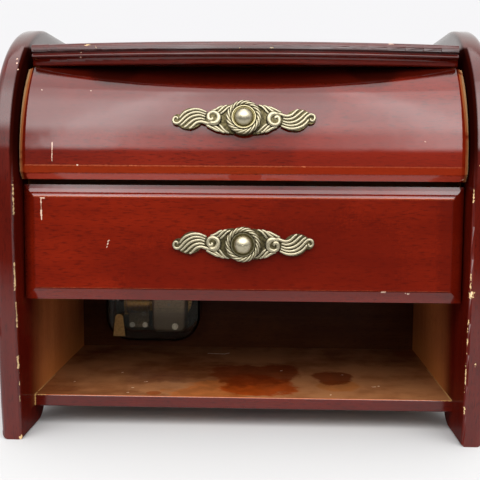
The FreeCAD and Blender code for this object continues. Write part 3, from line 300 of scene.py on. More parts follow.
RED_MAHOGANY = WoodTone((0.168, 0.0095, 0.0020), (0.112, 0.0056, 0.0013), (0.052, 0.0030, 0.0010))
DEEP_MAHOGANY = WoodTone((0.088, 0.0056, 0.0022), (0.058, 0.0034, 0.0015), (0.030, 0.0020, 0.0010))
BAY_STAIN = WoodTone((0.52, 0.180, 0.058), (0.43, 0.140, 0.044), (0.30, 0.092, 0.030))
# Stain darkened with painted shade, for the back of the bay, which lies in shade.
SHADED_STAIN = WoodTone((0.085, 0.026, 0.008), (0.050, 0.013, 0.004), (0.026, 0.007, 0.003))
ORANGE_STAIN = WoodTone((0.230, 0.078, 0.026), (0.150, 0.043, 0.013), (0.075, 0.021, 0.008))


@dataclass(frozen=True)
class Figure:
    """One layer of a board's figure: repeats per metre along and across the grain, and how far it shows."""

    along: float
    across: float
    detail: float
    rough: float
    share: float


STREAKS = Figure(11, 190, 6.0, 0.62, 0.40)
CLOUDS = Figure(20, 44, 4.0, 0.6, 0.6)
PORES = Figure(230, 1500, 3.0, 0.55, 0.68)


@dataclass(frozen=True)
class Moulding:
    """Rise of the lacquer over a moulding: (height above the foot, rise) stops, in millimetres."""

    foot: float
    stops: Line

    def rise(self, work: Surface) -> Socket:
        """Rise in metres at each height."""
        above = work.times(work.minus(work.z, self.foot * MM), 1 / MM)
        return work.times(work.profile(above, self.stops), MM)


@dataclass(frozen=True)
class Lacquer:
    """Gloss or satin finish on wood, with grain, pores, marks of wear and of painted shade and light, and moulded
    edges.
    """

    name: str
    grain: Grain = Grain.ALONG_X
    tone: WoodTone = RED_MAHOGANY
    coat: float = 1.0
    coat_rough: float = 0.07
    rough: float = 0.45
    mark_rough: float = 0.4
    marks: tuple[Mark, ...] = ()
    moulding: Moulding | None = None
    coat_index: float = 1.5
    waviness: float = 0.0001

    def figured(self, work: Surface, figure: Figure) -> Socket:
        """Noise drawn out along the grain."""
        place = work.scaled(work.place, self.grain.stretch(figure.along, figure.across))
        return work.noise(place, 1.0, figure.detail, figure.rough)

    def pattern(self, work: Surface, tone: WoodTone) -> Socket:
        """Colour of the wood: faint long streaks, cloudy patches and short pores."""
        streaks, clouds, pores = (self.figured(work, figure) for figure in (STREAKS, CLOUDS, PORES))
        blend = work.plus(work.times(streaks, STREAKS.share), work.times(clouds, CLOUDS.share))
        body = work.mix(work.step(blend, 0.34, 0.68), tone.dark, tone.light)
        return work.mix(work.times(work.step(pores, 0.50, 0.72), PORES.share), body, tone.pore)

    def layers(self, work: Surface) -> list[tuple[Socket, Colour]]:
        """Mask and tone of each mark, from the lowest up."""
        roughen = work.noise(work.place, 900.0, 3.0)
        return [(mark.mask(work, roughen), mark.tone) for mark in self.marks]

    def lay_marks(self, work: Surface, colour: Value) -> tuple[Value, Value]:
        """Lay every mark over the wood: wear, stains, painted shade and painted highlights.

        Args:
            work: the material.
            colour: the wood's colour.

        Returns:
            The marked colour, and a mask of all the marks.
        """
        total: Value = 0.0
        for mask, tone in self.layers(work):
            colour = work.mix(mask, colour, tone)
            total = work.most(mask, total)
        return colour, total

    def places(self, work: Surface, colour: Value) -> tuple[Value, Value]:
        """Colour and coat where they change over the piece; here they don't."""
        return colour, self.coat

    def base_normal(self, work: Surface) -> Socket | None:
        """Normal under the lacquer's ripple, where it isn't the surface's own."""
        return None

    def build(self) -> Material:
        """Make the material."""
        work = Surface(self.name)
        colour, coat = self.places(work, self.pattern(work, self.tone))
        rough: Value = self.rough
        if self.marks:
            colour, marked = self.lay_marks(work, colour)
            rough = work.between(marked, self.rough, self.rough + self.mark_rough)
        ripple = work.times(work.noise(work.place, 55.0, 2.0), self.waviness)
        if self.moulding:
            ripple = work.plus(ripple, self.moulding.rise(work))
        work.set(
            Base_Color=colour, Roughness=rough, Specular_IOR_Level=0.0, Coat_Weight=coat,
            Coat_Roughness=self.coat_rough, Coat_IOR=self.coat_index,
            Coat_Normal=work.bump(ripple, 1.0, 1.0, self.base_normal(work)))
        return work.material


@dataclass(frozen=True)
class CurvedFrontLacquer(Lacquer):
    """Lacquer of the curved drawer front, worn to bare wood in a strip down both ends; millimetres."""

    strip: Span = (108.2, 109.3)
    widening: float = 0.8
    widens: Span = (145.0, 178.0)
    fades: Span = (0.5, 0.3)
    patches: float = 120.0
    patchy: Span = (0.26, 0.44)
    insets: tuple[tuple[float, Colour], ...] = ((0.9, STAINED_BORDER), (-0.2, DULL_BARE))

    def worn_end(self, work: Surface, inset: float) -> Socket:
        """Mask of the strip down both ends, widened inward by an inset."""
        reach = work.reach()
        wider = work.times(work.step(work.z, *(height * MM for height in self.widens)), self.widening * MM)
        start, end = self.strip[0] - inset, self.strip[1]
        inside = work.step(work.plus(reach, wider), start * MM, (start + self.fades[0]) * MM)
        outside = work.step(reach, end * MM, (end - self.fades[1]) * MM)
        patchy = work.step(work.noise(work.place, self.patches, 3.0), *self.patchy)
        return work.times(inside, outside, patchy)

    def layers(self, work: Surface) -> list[tuple[Socket, Colour]]:
        """The marks, and over them the stained border and the bare strip."""
        return [*super().layers(work), *((self.worn_end(work, inset), tone) for inset, tone in self.insets)]


@dataclass(frozen=True)
class PanelLacquer(Lacquer):
    """Lacquer of a side panel: stained in the bay, painted shade beside the lid, dust and a painted sheen on the
    crest; metres.
    """

    inner_reach: Span = (0.1106, 0.1101)
    inner_top: Span = (0.2005, 0.1970)
    inner_coat: float = 0.15
    bay_left: float = -0.040
    bay_right: float = -0.029
    bay_fade: float = 0.026
    bay_wander: float = 0.008
    wander_scale: float = 45.0
    middle: Span = (-0.05, 0.05)
    bay_top: Span = (0.0775, 0.0765)
    bay_foot: Span = (0.0108, 0.0114)
    warm_foot: Span = (0.042, 0.014)
    warm_share: float = 0.55
    dust_and_sheen_heights: Span = (0.190, 0.209)
    pale_share: float = 0.75
    gap_reach: Span = (0.1122, 0.1112)
    gap_foot: Span = (0.118, 0.150)
    gap_top: Span = (0.1988, 0.1970)
    gap_ahead: Span = (-0.030, -0.044)
    lid_gap_shade_share: float = 0.9
    round_from: Span = (0.188, 0.196)
    crest_radius: float = 0.0065

    def inner_face(self, work: Surface) -> Socket:
        """Mask of the panel's inner face below the lid."""
        return work.times(work.step(work.reach(), *self.inner_reach), work.step(work.z, *self.inner_top))

    def in_bay(self, work: Surface) -> Socket:
        """Mask of the height and depth inside the bay, behind the lacquered front strip."""
        edge = work.times(work.minus(work.noise(work.place, self.wander_scale), 0.5), self.bay_wander)
        later = work.times(work.step(work.x, *self.middle), self.bay_left - self.bay_right)
        depth = work.plus(work.y, work.plus(edge, later))
        behind = work.step(depth, self.bay_left - self.bay_fade, self.bay_left + self.bay_fade)
        return work.times(behind, work.step(work.z, *self.bay_top), work.step(work.z, *self.bay_foot))

    def beside_lid(self, work: Surface) -> Socket:
        """Mask of the strip beside the ends of the lid and the curved front, where shade is painted."""
        near = work.step(work.reach(), *self.gap_reach)
        level = work.times(work.step(work.z, *self.gap_foot), work.step(work.z, *self.gap_top))
        return work.times(near, level, work.step(work.y, *self.gap_ahead))

    def places(self, work: Surface, colour: Value) -> tuple[Value, Value]:
        """Lay the bay's stain, the crest's dust and painted sheen, and the painted shade beside the lid over the wood.

        Args:
            work: the material.
            colour: the wood's colour.

        Returns:
            The colour, and the coat, which is thin inside and gone where the shade beside the lid is painted.
        """
        inner = self.inner_face(work)
        stained = work.times(inner, self.in_bay(work))
        colour = work.mix(stained, colour, self.pattern(work, BAY_STAIN))
        warm = work.times(stained, work.step(work.z, *self.warm_foot), self.warm_share)
        colour = work.mix(warm, colour, WARM_FOOT)
        # The crest is painted grey: dust, and a painted sheen standing for the light on its gloss.
        pale_spread = work.times(work.step(work.z, *self.dust_and_sheen_heights), self.pale_share)
        colour = work.mix(pale_spread, colour, CREST_DUST_AND_SHEEN)
        # Painted shade in the gap beside the lid's ends: near-black colour, and the coat taken off so nothing is
        # reflected there.
        lid_gap_shade = self.beside_lid(work)
        colour = work.mix(work.times(lid_gap_shade, self.lid_gap_shade_share), colour, PAINTED_SHADE)
        coat = work.between(inner, self.coat, self.inner_coat * self.coat)
        return colour, work.times(coat, work.minus(1.0, lid_gap_shade))

    def base_normal(self, work: Surface) -> Socket | None:
        """Normal that rounds the edges of the panel's crest."""
        radius = work.times(work.step(work.z, *self.round_from), self.crest_radius)
        return work.add("ShaderNodeBevel", {"Radius": radius}, samples=8).outputs["Normal"]


@dataclass(frozen=True)
class Spill:
    """A patch on the shelf where something once stood or ran: an oval with a wandering edge, in millimetres."""

    centre: Span
    reach: Span
    colour: Colour
    share: float = 0.9
    edge: Span = (2.12, 1.86)
    wander: float = 2.0

    def mask(self, work: Surface, noise: Socket) -> Socket:
        """Mask that is 1 inside the patch."""
        away = work.vector("SUBTRACT", work.place, (self.centre[0] * MM, self.centre[1] * MM, 0))
        oval = work.vector("MULTIPLY", away, (1 / (self.reach[0] * MM), 1 / (self.reach[1] * MM), 0))
        gap = work.plus(work.vector("LENGTH", oval), work.times(noise, self.wander))
        return work.times(work.step(gap, *self.edge), self.share)


@dataclass(frozen=True)
class ShelfFinish(Lacquer):
    """Stained bay floor under a dusty gloss, with spills, a lacquered front edge and pale joints."""

    dust: Colour = (0.36, 0.155, 0.062)
    pale_share: float = 0.75
    dust_scale: float = 26.0
    dust_edge: Span = (0.36, 0.66)
    front: float = -55.8
    front_fade: float = 0.3
    spills: tuple[Spill, ...] = ()
    spill_scale: float = 44.0
    thin_spill: float = 0.70
    mottle_scale: float = 95.0
    mottle_edge: Span = (0.32, 0.68)
    dull: Span = (0.55, 0.35)
    gloss: Span = (0.45, 1.0)

    def build(self) -> Material:
        """Make the material."""
        work = Surface(self.name)
        pale_spread = work.noise(work.place, self.dust_scale, 4.0, 0.6)
        dusted = work.times(work.step(pale_spread, *self.dust_edge), self.pale_share)
        colour = work.mix(dusted, self.pattern(work, self.tone), self.dust)
        wander = work.noise(work.place, self.spill_scale, 5.0, 0.62)
        mottle = work.step(work.noise(work.place, self.mottle_scale, 4.0, 0.6), *self.mottle_edge)
        wiped: Value = 0.0
        for spill in self.spills:
            mask = spill.mask(work, wander)
            thin = tuple(self.thin_spill * level for level in spill.colour)
            colour = work.mix(mask, colour, work.mix(mottle, thin, spill.colour))
            wiped = work.most(mask, wiped)
        edge = work.step(work.y, (self.front + self.front_fade) * MM, (self.front - self.front_fade) * MM)
        colour = work.mix(edge, colour, self.pattern(work, DEEP_MAHOGANY))
        colour, _ = self.lay_marks(work, colour)
        work.set(
            Base_Color=colour, Roughness=work.between(wiped, *self.dull), Specular_IOR_Level=0.0,
            Coat_Weight=work.between(edge, *self.gloss), Coat_Roughness=self.coat_rough, Coat_IOR=self.coat_index,
            Coat_Normal=work.bump(pale_spread, 0.05, 0.002))
        return work.material


@dataclass(frozen=True)
class CastMetal:
    """Plated casting, bright on its crests and dark in its hollows."""

    name: str
    bright: Colour
    hollow: Colour
    smooth: float
    relief: bool = False
    knob_at: Point | None = None
    knob_tilt: float = 0.0
    shaded_below: Span | None = None
    speckle: float = 700.0
    spotty: float = 0.22
    dome: Span = (5.0, 3.3)
    rim: Span = (5.2, 5.45)
    rim_share: float = 0.4

    def rubbed(self, work: Surface) -> Socket:
        """Mask of a knob's rubbed dome and rim, with the tarnished flank between them."""
        slope = math.radians(self.knob_tilt)
        away = work.vector("SUBTRACT", work.place, tuple(Vector(self.knob_at) * MM))
        across = work.vector("CROSS_PRODUCT", away, (0, -math.cos(slope), math.sin(slope)))
        reach = work.vector("LENGTH", across)
        dome, rim = (work.step(reach, low * MM, high * MM) for low, high in (self.dome, self.rim))
        return work.most(dome, work.times(rim, self.rim_share))

    def brightness(self, work: Surface, spots: Socket) -> Socket:
        """Mask of the bright places: crests, a knob's dome, the painted lit upper part, or else mere spots."""
        if self.relief:
            crest = work.add("ShaderNodeAttribute", attribute_name="relief").outputs["Fac"]
            return work.step(work.plus(crest, work.times(spots, 0.3)), 0.22, 0.80)
        # Painted light and shade: the upper part brighter as if lit from above, the lower part darker.
        if self.shaded_below:
            low, high = self.shaded_below
            return work.times(work.step(work.z, low * MM, high * MM), work.step(spots, 0.1, 0.6))
        if self.knob_at:
            return work.times(self.rubbed(work), work.step(spots, 0.0, 0.5))
        return work.step(spots, 0.30, 0.70)

    def build(self) -> Material:
        """Make the material."""
        work = Surface(self.name)
        spots = work.noise(work.place, self.speckle, 4.0, 0.6)
        work.set(
            Base_Color=work.mix(self.brightness(work, spots), self.hollow, self.bright), Metallic=1.0,
            Roughness=work.between(spots, self.smooth, self.smooth + self.spotty),
            Normal=work.bump(spots, 0.12, 0.0002))
        return work.material


@dataclass(frozen=True)
class FeltCloth:
    """Matted wool: short fibres and a soft sheen."""

    name: str = "red_felt"
    light: Colour = (0.34, 0.030, 0.045)
    dark: Colour = (0.17, 0.010, 0.020)

    def build(self) -> Material:
        """Make the material."""
        work = Surface(self.name)
        fibres = work.noise(work.place, 2600.0, 6.0, 0.75)
        clouds = work.noise(work.place, 90.0, 3.0)
        share = work.plus(work.times(fibres, 0.7), work.times(clouds, 0.3))
        work.set(
            Base_Color=work.mix(work.step(share, 0.3, 0.7), self.dark, self.light), Roughness=0.95,
            Sheen_Weight=0.5, Sheen_Roughness=0.4, Normal=work.bump(fibres, 0.6, 0.0006))
        return work.material


@dataclass(frozen=True)
class SmokyPlastic:
    """Clear moulded plastic with a smoky tint and fine scuffs."""

    name: str = "smoky_cover"
    tint: Colour = (0.80, 0.76, 0.67)
    scuffed: float = 0.8
    index: float = 1.14

    def build(self) -> Material:
        """Make the material."""
        work = Surface(self.name)
        scuffs = work.noise(work.scaled(work.place, (40, 300, 900)), 1.0, 4.0)
        marked = tuple(self.scuffed * level for level in self.tint)
        work.set(
            Base_Color=work.mix(work.step(scuffs, 0.45, 0.8), self.tint, marked),
            Roughness=work.between(work.step(scuffs, 0.5, 0.8), 0.02, 0.08),
            Transmission_Weight=1.0, IOR=self.index)
        return work.material


LID_MOULDING = Moulding(187.8, (
    (0, 4.55), (4.0, 4.55), (4.8, 4.23), (5.9, 3.68), (6.8, 3.68), (7.6, 1.28), (8.2, 0.56), (9.0, 0.16), (10.6, 0.0)))
FRONT_BEVEL = Moulding(122.8, ((0, 0.08), (0.9, 0.28), (1.2, 0.28), (2.0, 0.08), (3.8, 0.55), (5.7, 1.25)))
LID_MARKS = (
    *marks(
        CHIPPED,
        (-78.4, -70.2, 197.2, -74.6, -70.6, 197.6, 0.34, 1.2), (-73, -70.8, 196.4, -72.2, -70.9, 195.8, 0.34, 1.2),
        (13.4, -76.7, 195, 14.4, -76.4, 194.9, 0.55, 0.9), (-2.4, -76.9, 194.9, -1.6, -76.4, 194.9, 0.36, 0.9)),
    *marks(
        PALE_SCUFF,
        (-80.7, -69.5, 193.8, -80.7, -66.5, 193.8, 0.42), (-80.9, -69, 191.6, -80.9, -65.5, 191.6, 0.42),
        (71, -70.6, 198, 73.5, -70.3, 198.1, 0.36, 0.9)),
)
UPPER_MARKS = (
    *marks(
        THICK_STAIN,
        (-100, -76, 170, 26, -76, 171, 22, 0.15, 0, 0.6),
        (-101, -79.5, 148, -101, -73, 172, 14, 0.2, 0, 0.45),
        (64.4, -76.7, 163.4, 64.7, -76.7, 163.2, 0.4, 0.8, 0, 0.6)),
    *marks(WARM_LIP, (-106, -80.4, 136.2, 106, -80.4, 136.2, 2.2, 0.2, 0, 0.36)),
    # Painted floor light on the downward-facing facet below the arris.
    *marks(BOUNCE_LIT_LIP, (-104, -79, 132.4, 106, -79, 132.4, 2.4, 0.1, 0, 0.8)),
    # The worn arris, with a painted highlight line along it.
    *marks(WORN_AND_LIT_EDGE, (-108.4, -80.5, 138.1, 108.4, -80.5, 138.1, 0.34, 0.5, 0.26, 0.5)),
    *marks(THIN_STAIN, (36, -80, 142, 112, -80, 142, 14, 0.1, 0, 0.36)),
    *marks(
        WORN_AND_LIT_EDGE,
        (-55, -80.5, 138.2, -51, -80.5, 138.2, 0.32, 0.9), (29, -80.5, 138.1, 31, -80.5, 138.1, 0.32, 0.9)),
    *marks(
        PALE_SCUFF,
        (-92.6, -80.1, 149.2, -92.7, -80.5, 140.2, 0.27, 0.7), (-80.4, -80.5, 138.2, -80, -80.5, 138.3, 0.3, 0.8),
        (-99.9, -70.8, 175.4, -99.6, -70.9, 175.1, 0.26, 0.9, 0, 0.7),
        (-75.3, -71, 175, -75.2, -71, 174.8, 0.24, 0.9, 0, 0.6),
        (87.9, -79.9, 150.6, 88.3, -79.9, 150.4, 0.24, 0.8, 0, 0.7),
        (106, -77.4, 132.2, 107.4, -77.4, 132.4, 0.5, 0.9)),
    # Painted shadow of the lid's bowed overhang across the top of the curved front.
    *marks(
        PAINTED_SHADE,
        (-66, -63, 187, 66, -63, 187, 14, 0.06, 0, 0.8),
        (-102, -60, 189.5, -60, -62, 187, 10, 0.06, 0, 0.8),
        (60, -62, 187, 102, -60, 189.5, 10, 0.06, 0, 0.8)),
)
LOWER_MARKS = (
    *marks(
        THICK_STAIN,
        (-40, -76.5, 80, 60, -76.5, 92, 26, 0.3, 0, 0.45),
        (26, -76.5, 104, 36, -76.5, 122, 22, 0.3, 0, 0.35),
        (105, -76.5, 80, 105, -76.5, 122, 11, 0.3, 0, 0.5)),
    # Painted shade down both ends of the flat front, in the gaps beside the side panels.
    *marks(
        PAINTED_SHADE,
        (-110, -74.5, 72, -110, -74.5, 127.5, 3.2, 0.05, 0, 0.6),
        (-110, -74.5, 72, -110, -74.5, 127.5, 5.6, 0.05, 0, 0.35),
        (110, -74.5, 72, 110, -74.5, 127.5, 3, 0.05, 0, 0.65)),
    *marks(LIT_LIP, (-104, -76.3, 123, 104, -76.3, 123, 1, 0.1, 0, 0.8)),
    *marks(
        PALE_SCUFF,
        (-99.7, -76.5, 122.1, -97.9, -76.5, 122, 0.34, 0.9), (-99.4, -76.5, 121.6, -99.5, -76.5, 119.4, 0.3, 0.8),
        (-99.5, -76.5, 119.4, -99.4, -76.5, 116, 0.2, 0.6, 0, 0.5),
        (-99.4, -76.5, 115.6, -99.4, -76.5, 113.2, 0.5, 0.6), (-99.4, -76.5, 113, -99.3, -76.5, 111.2, 0.3, 0.6),
        (-65.7, -76.5, 101.2, -66.4, -76.5, 100.5, 0.3, 0.9, 0, 0.8),
        (-66.2, -76.5, 99.7, -66.6, -76.5, 99, 0.28, 0.9, 0, 0.8),
        (-66.6, -76.5, 98.2, -67.1, -76.5, 97.6, 0.24, 0.9, 0, 0.6),
        (69.4, -75.6, 76.7, 71.2, -75.6, 76.9, 0.5, 0.9), (81.3, -75.2, 76.1, 83, -75.2, 75.9, 0.5, 0.9)),
    # A painted highlight line along the bevel's lower edge, and a broken rubbed line up the field's right edge.
    *marks(
        WORN_AND_LIT_EDGE,
        (-103, -76.5, 77, 103, -76.5, 77, 0.36, 0.3, 0, 0.7),
        (102.9, -76.5, 121, 102.9, -76.5, 78, 0.2, 0.5, 0.4, 0.6)),
)
PANEL_MARKS = (
    *marks(
        CHIPPED,
        (-110.4, -86.4, 128.4, -110.4, -85.8, 113.9, 0.45, 1, 0.44),
        (-110.5, -85.6, 90.9, -110.5, -84.9, 77.1, 0.55, 1.1, 0.4),
        (-110.4, -84.4, 70.6, -110.4, -83.5, 58.5, 0.42, 1, 0.36),
        (-110.7, -82.6, 43.2, -110.7, -82.2, 37.6, 0.8, 0.9),
        (-110.4, -86.5, 138, -110.4, -80, 4, 0.2, 0.8, 0.52),
        (-110.3, -79.6, 1.6, -110.6, -79.4, 0.6, 0.8, 1), (110.4, -86.4, 127.7, 110.4, -86.2, 122, 0.45, 1),
        (110.4, -85.4, 87, 110.4, -84.9, 79.5, 0.4, 1), (111.2, -84.9, 77.9, 111.2, -84.8, 76.8, 1.3, 0.8),
        (110.4, -84, 64.8, 110.4, -81, 27, 0.3, 0.9, 0.4), (110.5, -80.6, 20.3, 110.5, -80.4, 17.2, 0.5, 1),
        (114.2, -82.9, 44, 114.4, -82.7, 41.5, 0.55, 1.2, 0.46),
        (113, -87, 139.2, 115, -87, 138.6, 0.45, 1.2)),
    *marks(
        PALE_SCUFF,
        (-113.3, -66.4, 191.4, -113.3, -66.7, 190.9, 0.38, 1.2),
        (-112.5, -68.8, 188.5, -112.5, -69, 188.2, 0.34, 1.2),
        (-111.2, -71.5, 185.3, -111.2, -71.7, 185, 0.32, 1.2)),
)
SHELF_SPECKS = (
    (-71.9, -8.1, 0.9), (-95, -30.2, 0.5), (-55.4, -28, 1.2), (-60.7, -40.5, 0.8), (-61.8, -50.7, 0.7),
    (21.5, 1.4, 0.6), (56.9, -6.5, 0.7), (46.9, -49.5, 0.7), (71.6, -32, 1.6), (75, -30.4, 0.5))
SHELF_MARKS = (
    *marks(RUBBED_ORANGE, (-108, -56.2, 16.8, 109, -56.2, 16.8, 0.3, 0.2, 0, 0.85)),
    *marks(
        BARE_WOOD,
        (-109.6, -56, 17, -109.6, -14, 17, 0.45, 0.6, 0.36),
        (109.6, -56, 17, 109.6, 10, 17, 0.45, 0.6, 0.36),
        (-109.6, -56.5, 16.4, -109.6, -56.5, 11, 0.4, 0.5), (-109.4, -56.4, 16.9, -104, -56.4, 16.9, 0.4, 0.6),
        (104.5, -56.4, 16.9, 109.4, -56.4, 16.9, 0.4, 0.6)),
    *marks(
        DUST_SPECK,
        (-24.6, 44.6, 17, -14, 43.6, 17, 0.8, 0.3), (-14, 43.6, 17, -11.4, 46.4, 17, 0.7, 0.3),
        *((x, y, 17, x + length, y + 0.4, 17, 0.45, 0.9) for x, y, length in SHELF_SPECKS)),
)
SHELF_SPILLS = (
    Spill((-32, -40), (26, 15), (0.47, 0.205, 0.082), 0.5),
    Spill((-14, -42), (26, 23), (0.41, 0.12, 0.028), 0.85),
    Spill((10.5, -34), (21, 23), (0.29, 0.041, 0.004), 0.9),
    Spill((6, -10), (25, 26), (0.155, 0.022, 0.004), 0.8),
    Spill((54, -31), (13, 12), (0.34, 0.105, 0.022), 0.7),
    Spill((50.5, -13), (12, 15), (0.135, 0.02, 0.004), 0.85),
    Spill((-47.1, -50.8), (4, 3.4), (0.26, 0.055, 0.01), 0.8),
)


class Finishes:
    """Every material of the chest, made once and named for what it is on."""

    def __init__(self) -> None:
        """Make the materials."""
        satin = {"tone": ORANGE_STAIN, "coat": 0.15, "coat_rough": 0.3}
        self.lid = Lacquer("lid_lacquer", tone=DEEP_MAHOGANY, marks=LID_MARKS, moulding=LID_MOULDING).build()
        self.upper_front = CurvedFrontLacquer("upper_front_lacquer", marks=UPPER_MARKS).build()
        self.lower_front = Lacquer("lower_front_lacquer", marks=LOWER_MARKS, moulding=FRONT_BEVEL).build()
        self.panel = PanelLacquer("panel_lacquer", Grain.ALONG_Z, DEEP_MAHOGANY, marks=PANEL_MARKS).build()
        self.shelf = ShelfFinish(
            "shelf_stain", tone=ORANGE_STAIN, coat_rough=0.13, marks=SHELF_MARKS, spills=SHELF_SPILLS).build()
        # The back board's stain is darkened with painted shade.
        self.back = Lacquer("back_stain", tone=SHADED_STAIN, coat=0.10, coat_rough=0.3).build()
        self.stained = Lacquer("stained_boards", **satin).build()
        self.stained_deep = Lacquer("stained_sides", Grain.ALONG_Y, **satin).build()
        self.ornament = CastMetal(
            "antique_silver", (0.40, 0.358, 0.245), (0.026, 0.021, 0.011), 0.34, relief=True).build()
        self.ground = CastMetal("antique_ground", (0.15, 0.125, 0.060), (0.034, 0.028, 0.014), 0.45).build()
        self.brass = CastMetal("brass", (0.62, 0.42, 0.16), (0.36, 0.22, 0.08), 0.28).build()
        self.aged_brass = CastMetal("aged_brass", (0.36, 0.22, 0.085), (0.25, 0.15, 0.055), 0.38).build()
        self.bright_steel = CastMetal("screw_steel", (0.66, 0.66, 0.64), (0.40, 0.40, 0.38), 0.22).build()
        self.steel = CastMetal("steel", (0.46, 0.46, 0.45), (0.26, 0.26, 0.25), 0.30).build()
        # The housing is painted lighter at the top and darker lower down, as light and shade.
        self.zinc = CastMetal(
            "zinc_casting", (0.52, 0.46, 0.38), (0.17, 0.145, 0.115), 0.45, shaded_below=(38.0, 52.0)).build()
        self.comb = CastMetal("comb_steel", (0.24, 0.195, 0.140), (0.10, 0.080, 0.058), 0.35).build()
        self.plate = CastMetal("dull_plate", (0.085, 0.080, 0.070), (0.045, 0.042, 0.036), 0.5).build()
        self.felt = FeltCloth().build()
        self.cover = SmokyPlastic().build()

    def knob(self, name: str, seat: Point, tilt: float) -> Material:
        """Silver of one knob, rubbed bright on its dome and rim."""
        return CastMetal(
            name, (0.46, 0.415, 0.295), (0.200, 0.168, 0.070), 0.25, knob_at=seat, knob_tilt=tilt).build()


def add_object(name: str, data: bpy.types.ID) -> bpy.types.Object:
    """Object of some data, linked into the scene."""
    made = bpy.data.objects.new(name, data)
    bpy.context.scene.collection.objects.link(made)
    return made


def piece(name: str, mesh: Mesh, material: Material, body: str) -> bpy.types.Object:
    """Object of a finished mesh that rides on a body."""
    made = add_object(name, mesh)
    mesh.materials.clear()
    mesh.materials.append(material)
    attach(made, body)
    return made


def dress(material: Material, *nodes: str) -> None:
    """Give CAD nodes a material."""
    for name in nodes:
        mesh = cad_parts[name].data
        mesh.materials.clear()
        mesh.materials.append(material)


def set_level(items: list, axis: int, level: float) -> None:
    """Move the points among some bmesh items to one level on an axis."""
    for item in items:
        if isinstance(item, bmesh.types.BMVert):
            item.co[axis] = level


def fill_mesh(work: bmesh.types.BMesh, mesh: Mesh, smooth: bool = False) -> Mesh:
    """Put a bmesh into a mesh, faces turned outward, and free it."""
    bmesh.ops.recalc_face_normals(work, faces=work.faces)
    for face in work.faces:
        face.smooth = smooth
    work.to_mesh(mesh)
    work.free()
    return mesh


def travelled(line: np.ndarray) -> np.ndarray:
    """Length of a line up to each of its points."""
    return np.concatenate([[0], np.cumsum(np.linalg.norm(np.diff(line, axis=0), axis=1))])


def smooth_line(points: np.ndarray, samples: int) -> np.ndarray:
    """Catmull-Rom line through points, resampled evenly."""
    padded = np.vstack([2 * points[0] - points[1], points, 2 * points[-1] - points[-2]])
    fine = []
    for i in range(1, len(padded) - 2):
        p0, p1, p2, p3 = padded[i - 1:i + 3]
        for t in np.linspace(0, 1, 16, endpoint=False):
            fine.append(0.5 * (2 * p1 + (p2 - p0) * t + (2 * p0 - 5 * p1 + 4 * p2 - p3) * t ** 2
                               + (3 * p1 - p0 - 3 * p2 + p3) * t ** 3))
    fine = np.array(fine + [points[-1]])
    travel = travelled(fine)
    wanted = np.linspace(0, travel[-1], samples)
    return np.stack([np.interp(wanted, travel, fine[:, k]) for k in range(3)], 1)


class Sweep:
    """Round ribs of one piece, in a local frame in millimetres, joined at the end."""

    def __init__(self) -> None:
        """Start with no parts."""
        self.parts: list[tuple[np.ndarray, list[tuple[int, ...]], np.ndarray]] = []

    def rib(
            self, path: list[Point], widths: tuple[float, ...], height: float, samples: int, sides: int = 12) -> None:
        """Add a round rib along a smooth path, with rounded ends.

        Args:
            path: (x, z, lift) points, lift being the height of the rib's middle.
            widths: half widths along the path.
            height: half height over half width.
            samples: rings along the rib.
            sides: points in a ring.
        """
        line = smooth_line(np.array(path, float), samples)
        spread = np.interp(np.linspace(0, 1, samples), np.linspace(0, 1, len(widths)), widths)
        travel = travelled(line)
        left = np.minimum(travel, travel[-1] - travel)
        spread = spread * np.sqrt(np.clip(1 - (1 - np.minimum(left / spread, 1)) ** 2, 0.02, 1))
        tangent = np.gradient(line[:, :2], axis=0)
        tangent /= np.linalg.norm(tangent, axis=1)[:, None] + 1e-9
        side = np.stack([-tangent[:, 1], tangent[:, 0]], 1)
        angles = np.linspace(0, 2 * math.pi, sides, endpoint=False)
        across = spread[:, None] * np.cos(angles)[None]
        rings = np.empty((samples, sides, 3))
        rings[:, :, 0] = line[:, None, 0] + across * side[:, None, 0]
        rings[:, :, 2] = line[:, None, 1] + across * side[:, None, 1]
        rings[:, :, 1] = -(line[:, None, 2] + height * spread[:, None] * np.sin(angles)[None])
        relief = np.tile(np.clip(np.sin(angles), 0, 1), samples)
        faces = []
        for first in range(0, (samples - 1) * sides, sides):
            for step in range(sides):
                after = (step + 1) % sides
                faces.append((first + step, first + after, first + sides + after, first + sides + step))
        faces.append(tuple(range(sides - 1, -1, -1)))
        faces.append(tuple((samples - 1) * sides + step for step in range(sides)))
        self.parts.append((rings.reshape(-1, 3), faces, relief))

    def turned_half(self) -> None:
        """Repeat every part, turned by half a turn in the plate's plane."""
        self.parts += [(points * (-1, 1, -1), faces, relief) for points, faces, relief in self.parts]

    def mesh(self, name: str) -> Mesh:
        """Smooth mesh in metres with its crest values."""
        points, faces, relief = (list(column) for column in zip(*self.parts))
        starts = np.cumsum([0] + [len(part) for part in points])
        joined = [tuple(int(start) + i for i in face) for start, part in zip(starts, faces) for face in part]
        made = bpy.data.meshes.new(name)
        made.from_pydata((np.concatenate(points) * MM).tolist(), [], joined)
        work = bmesh.new()
        work.from_mesh(made)
        fill_mesh(work, made, smooth=True)
        crest = made.attributes.new("relief", "FLOAT", "POINT")
        crest.data.foreach_set("value", np.concatenate(relief).astype(np.float32))
        return made


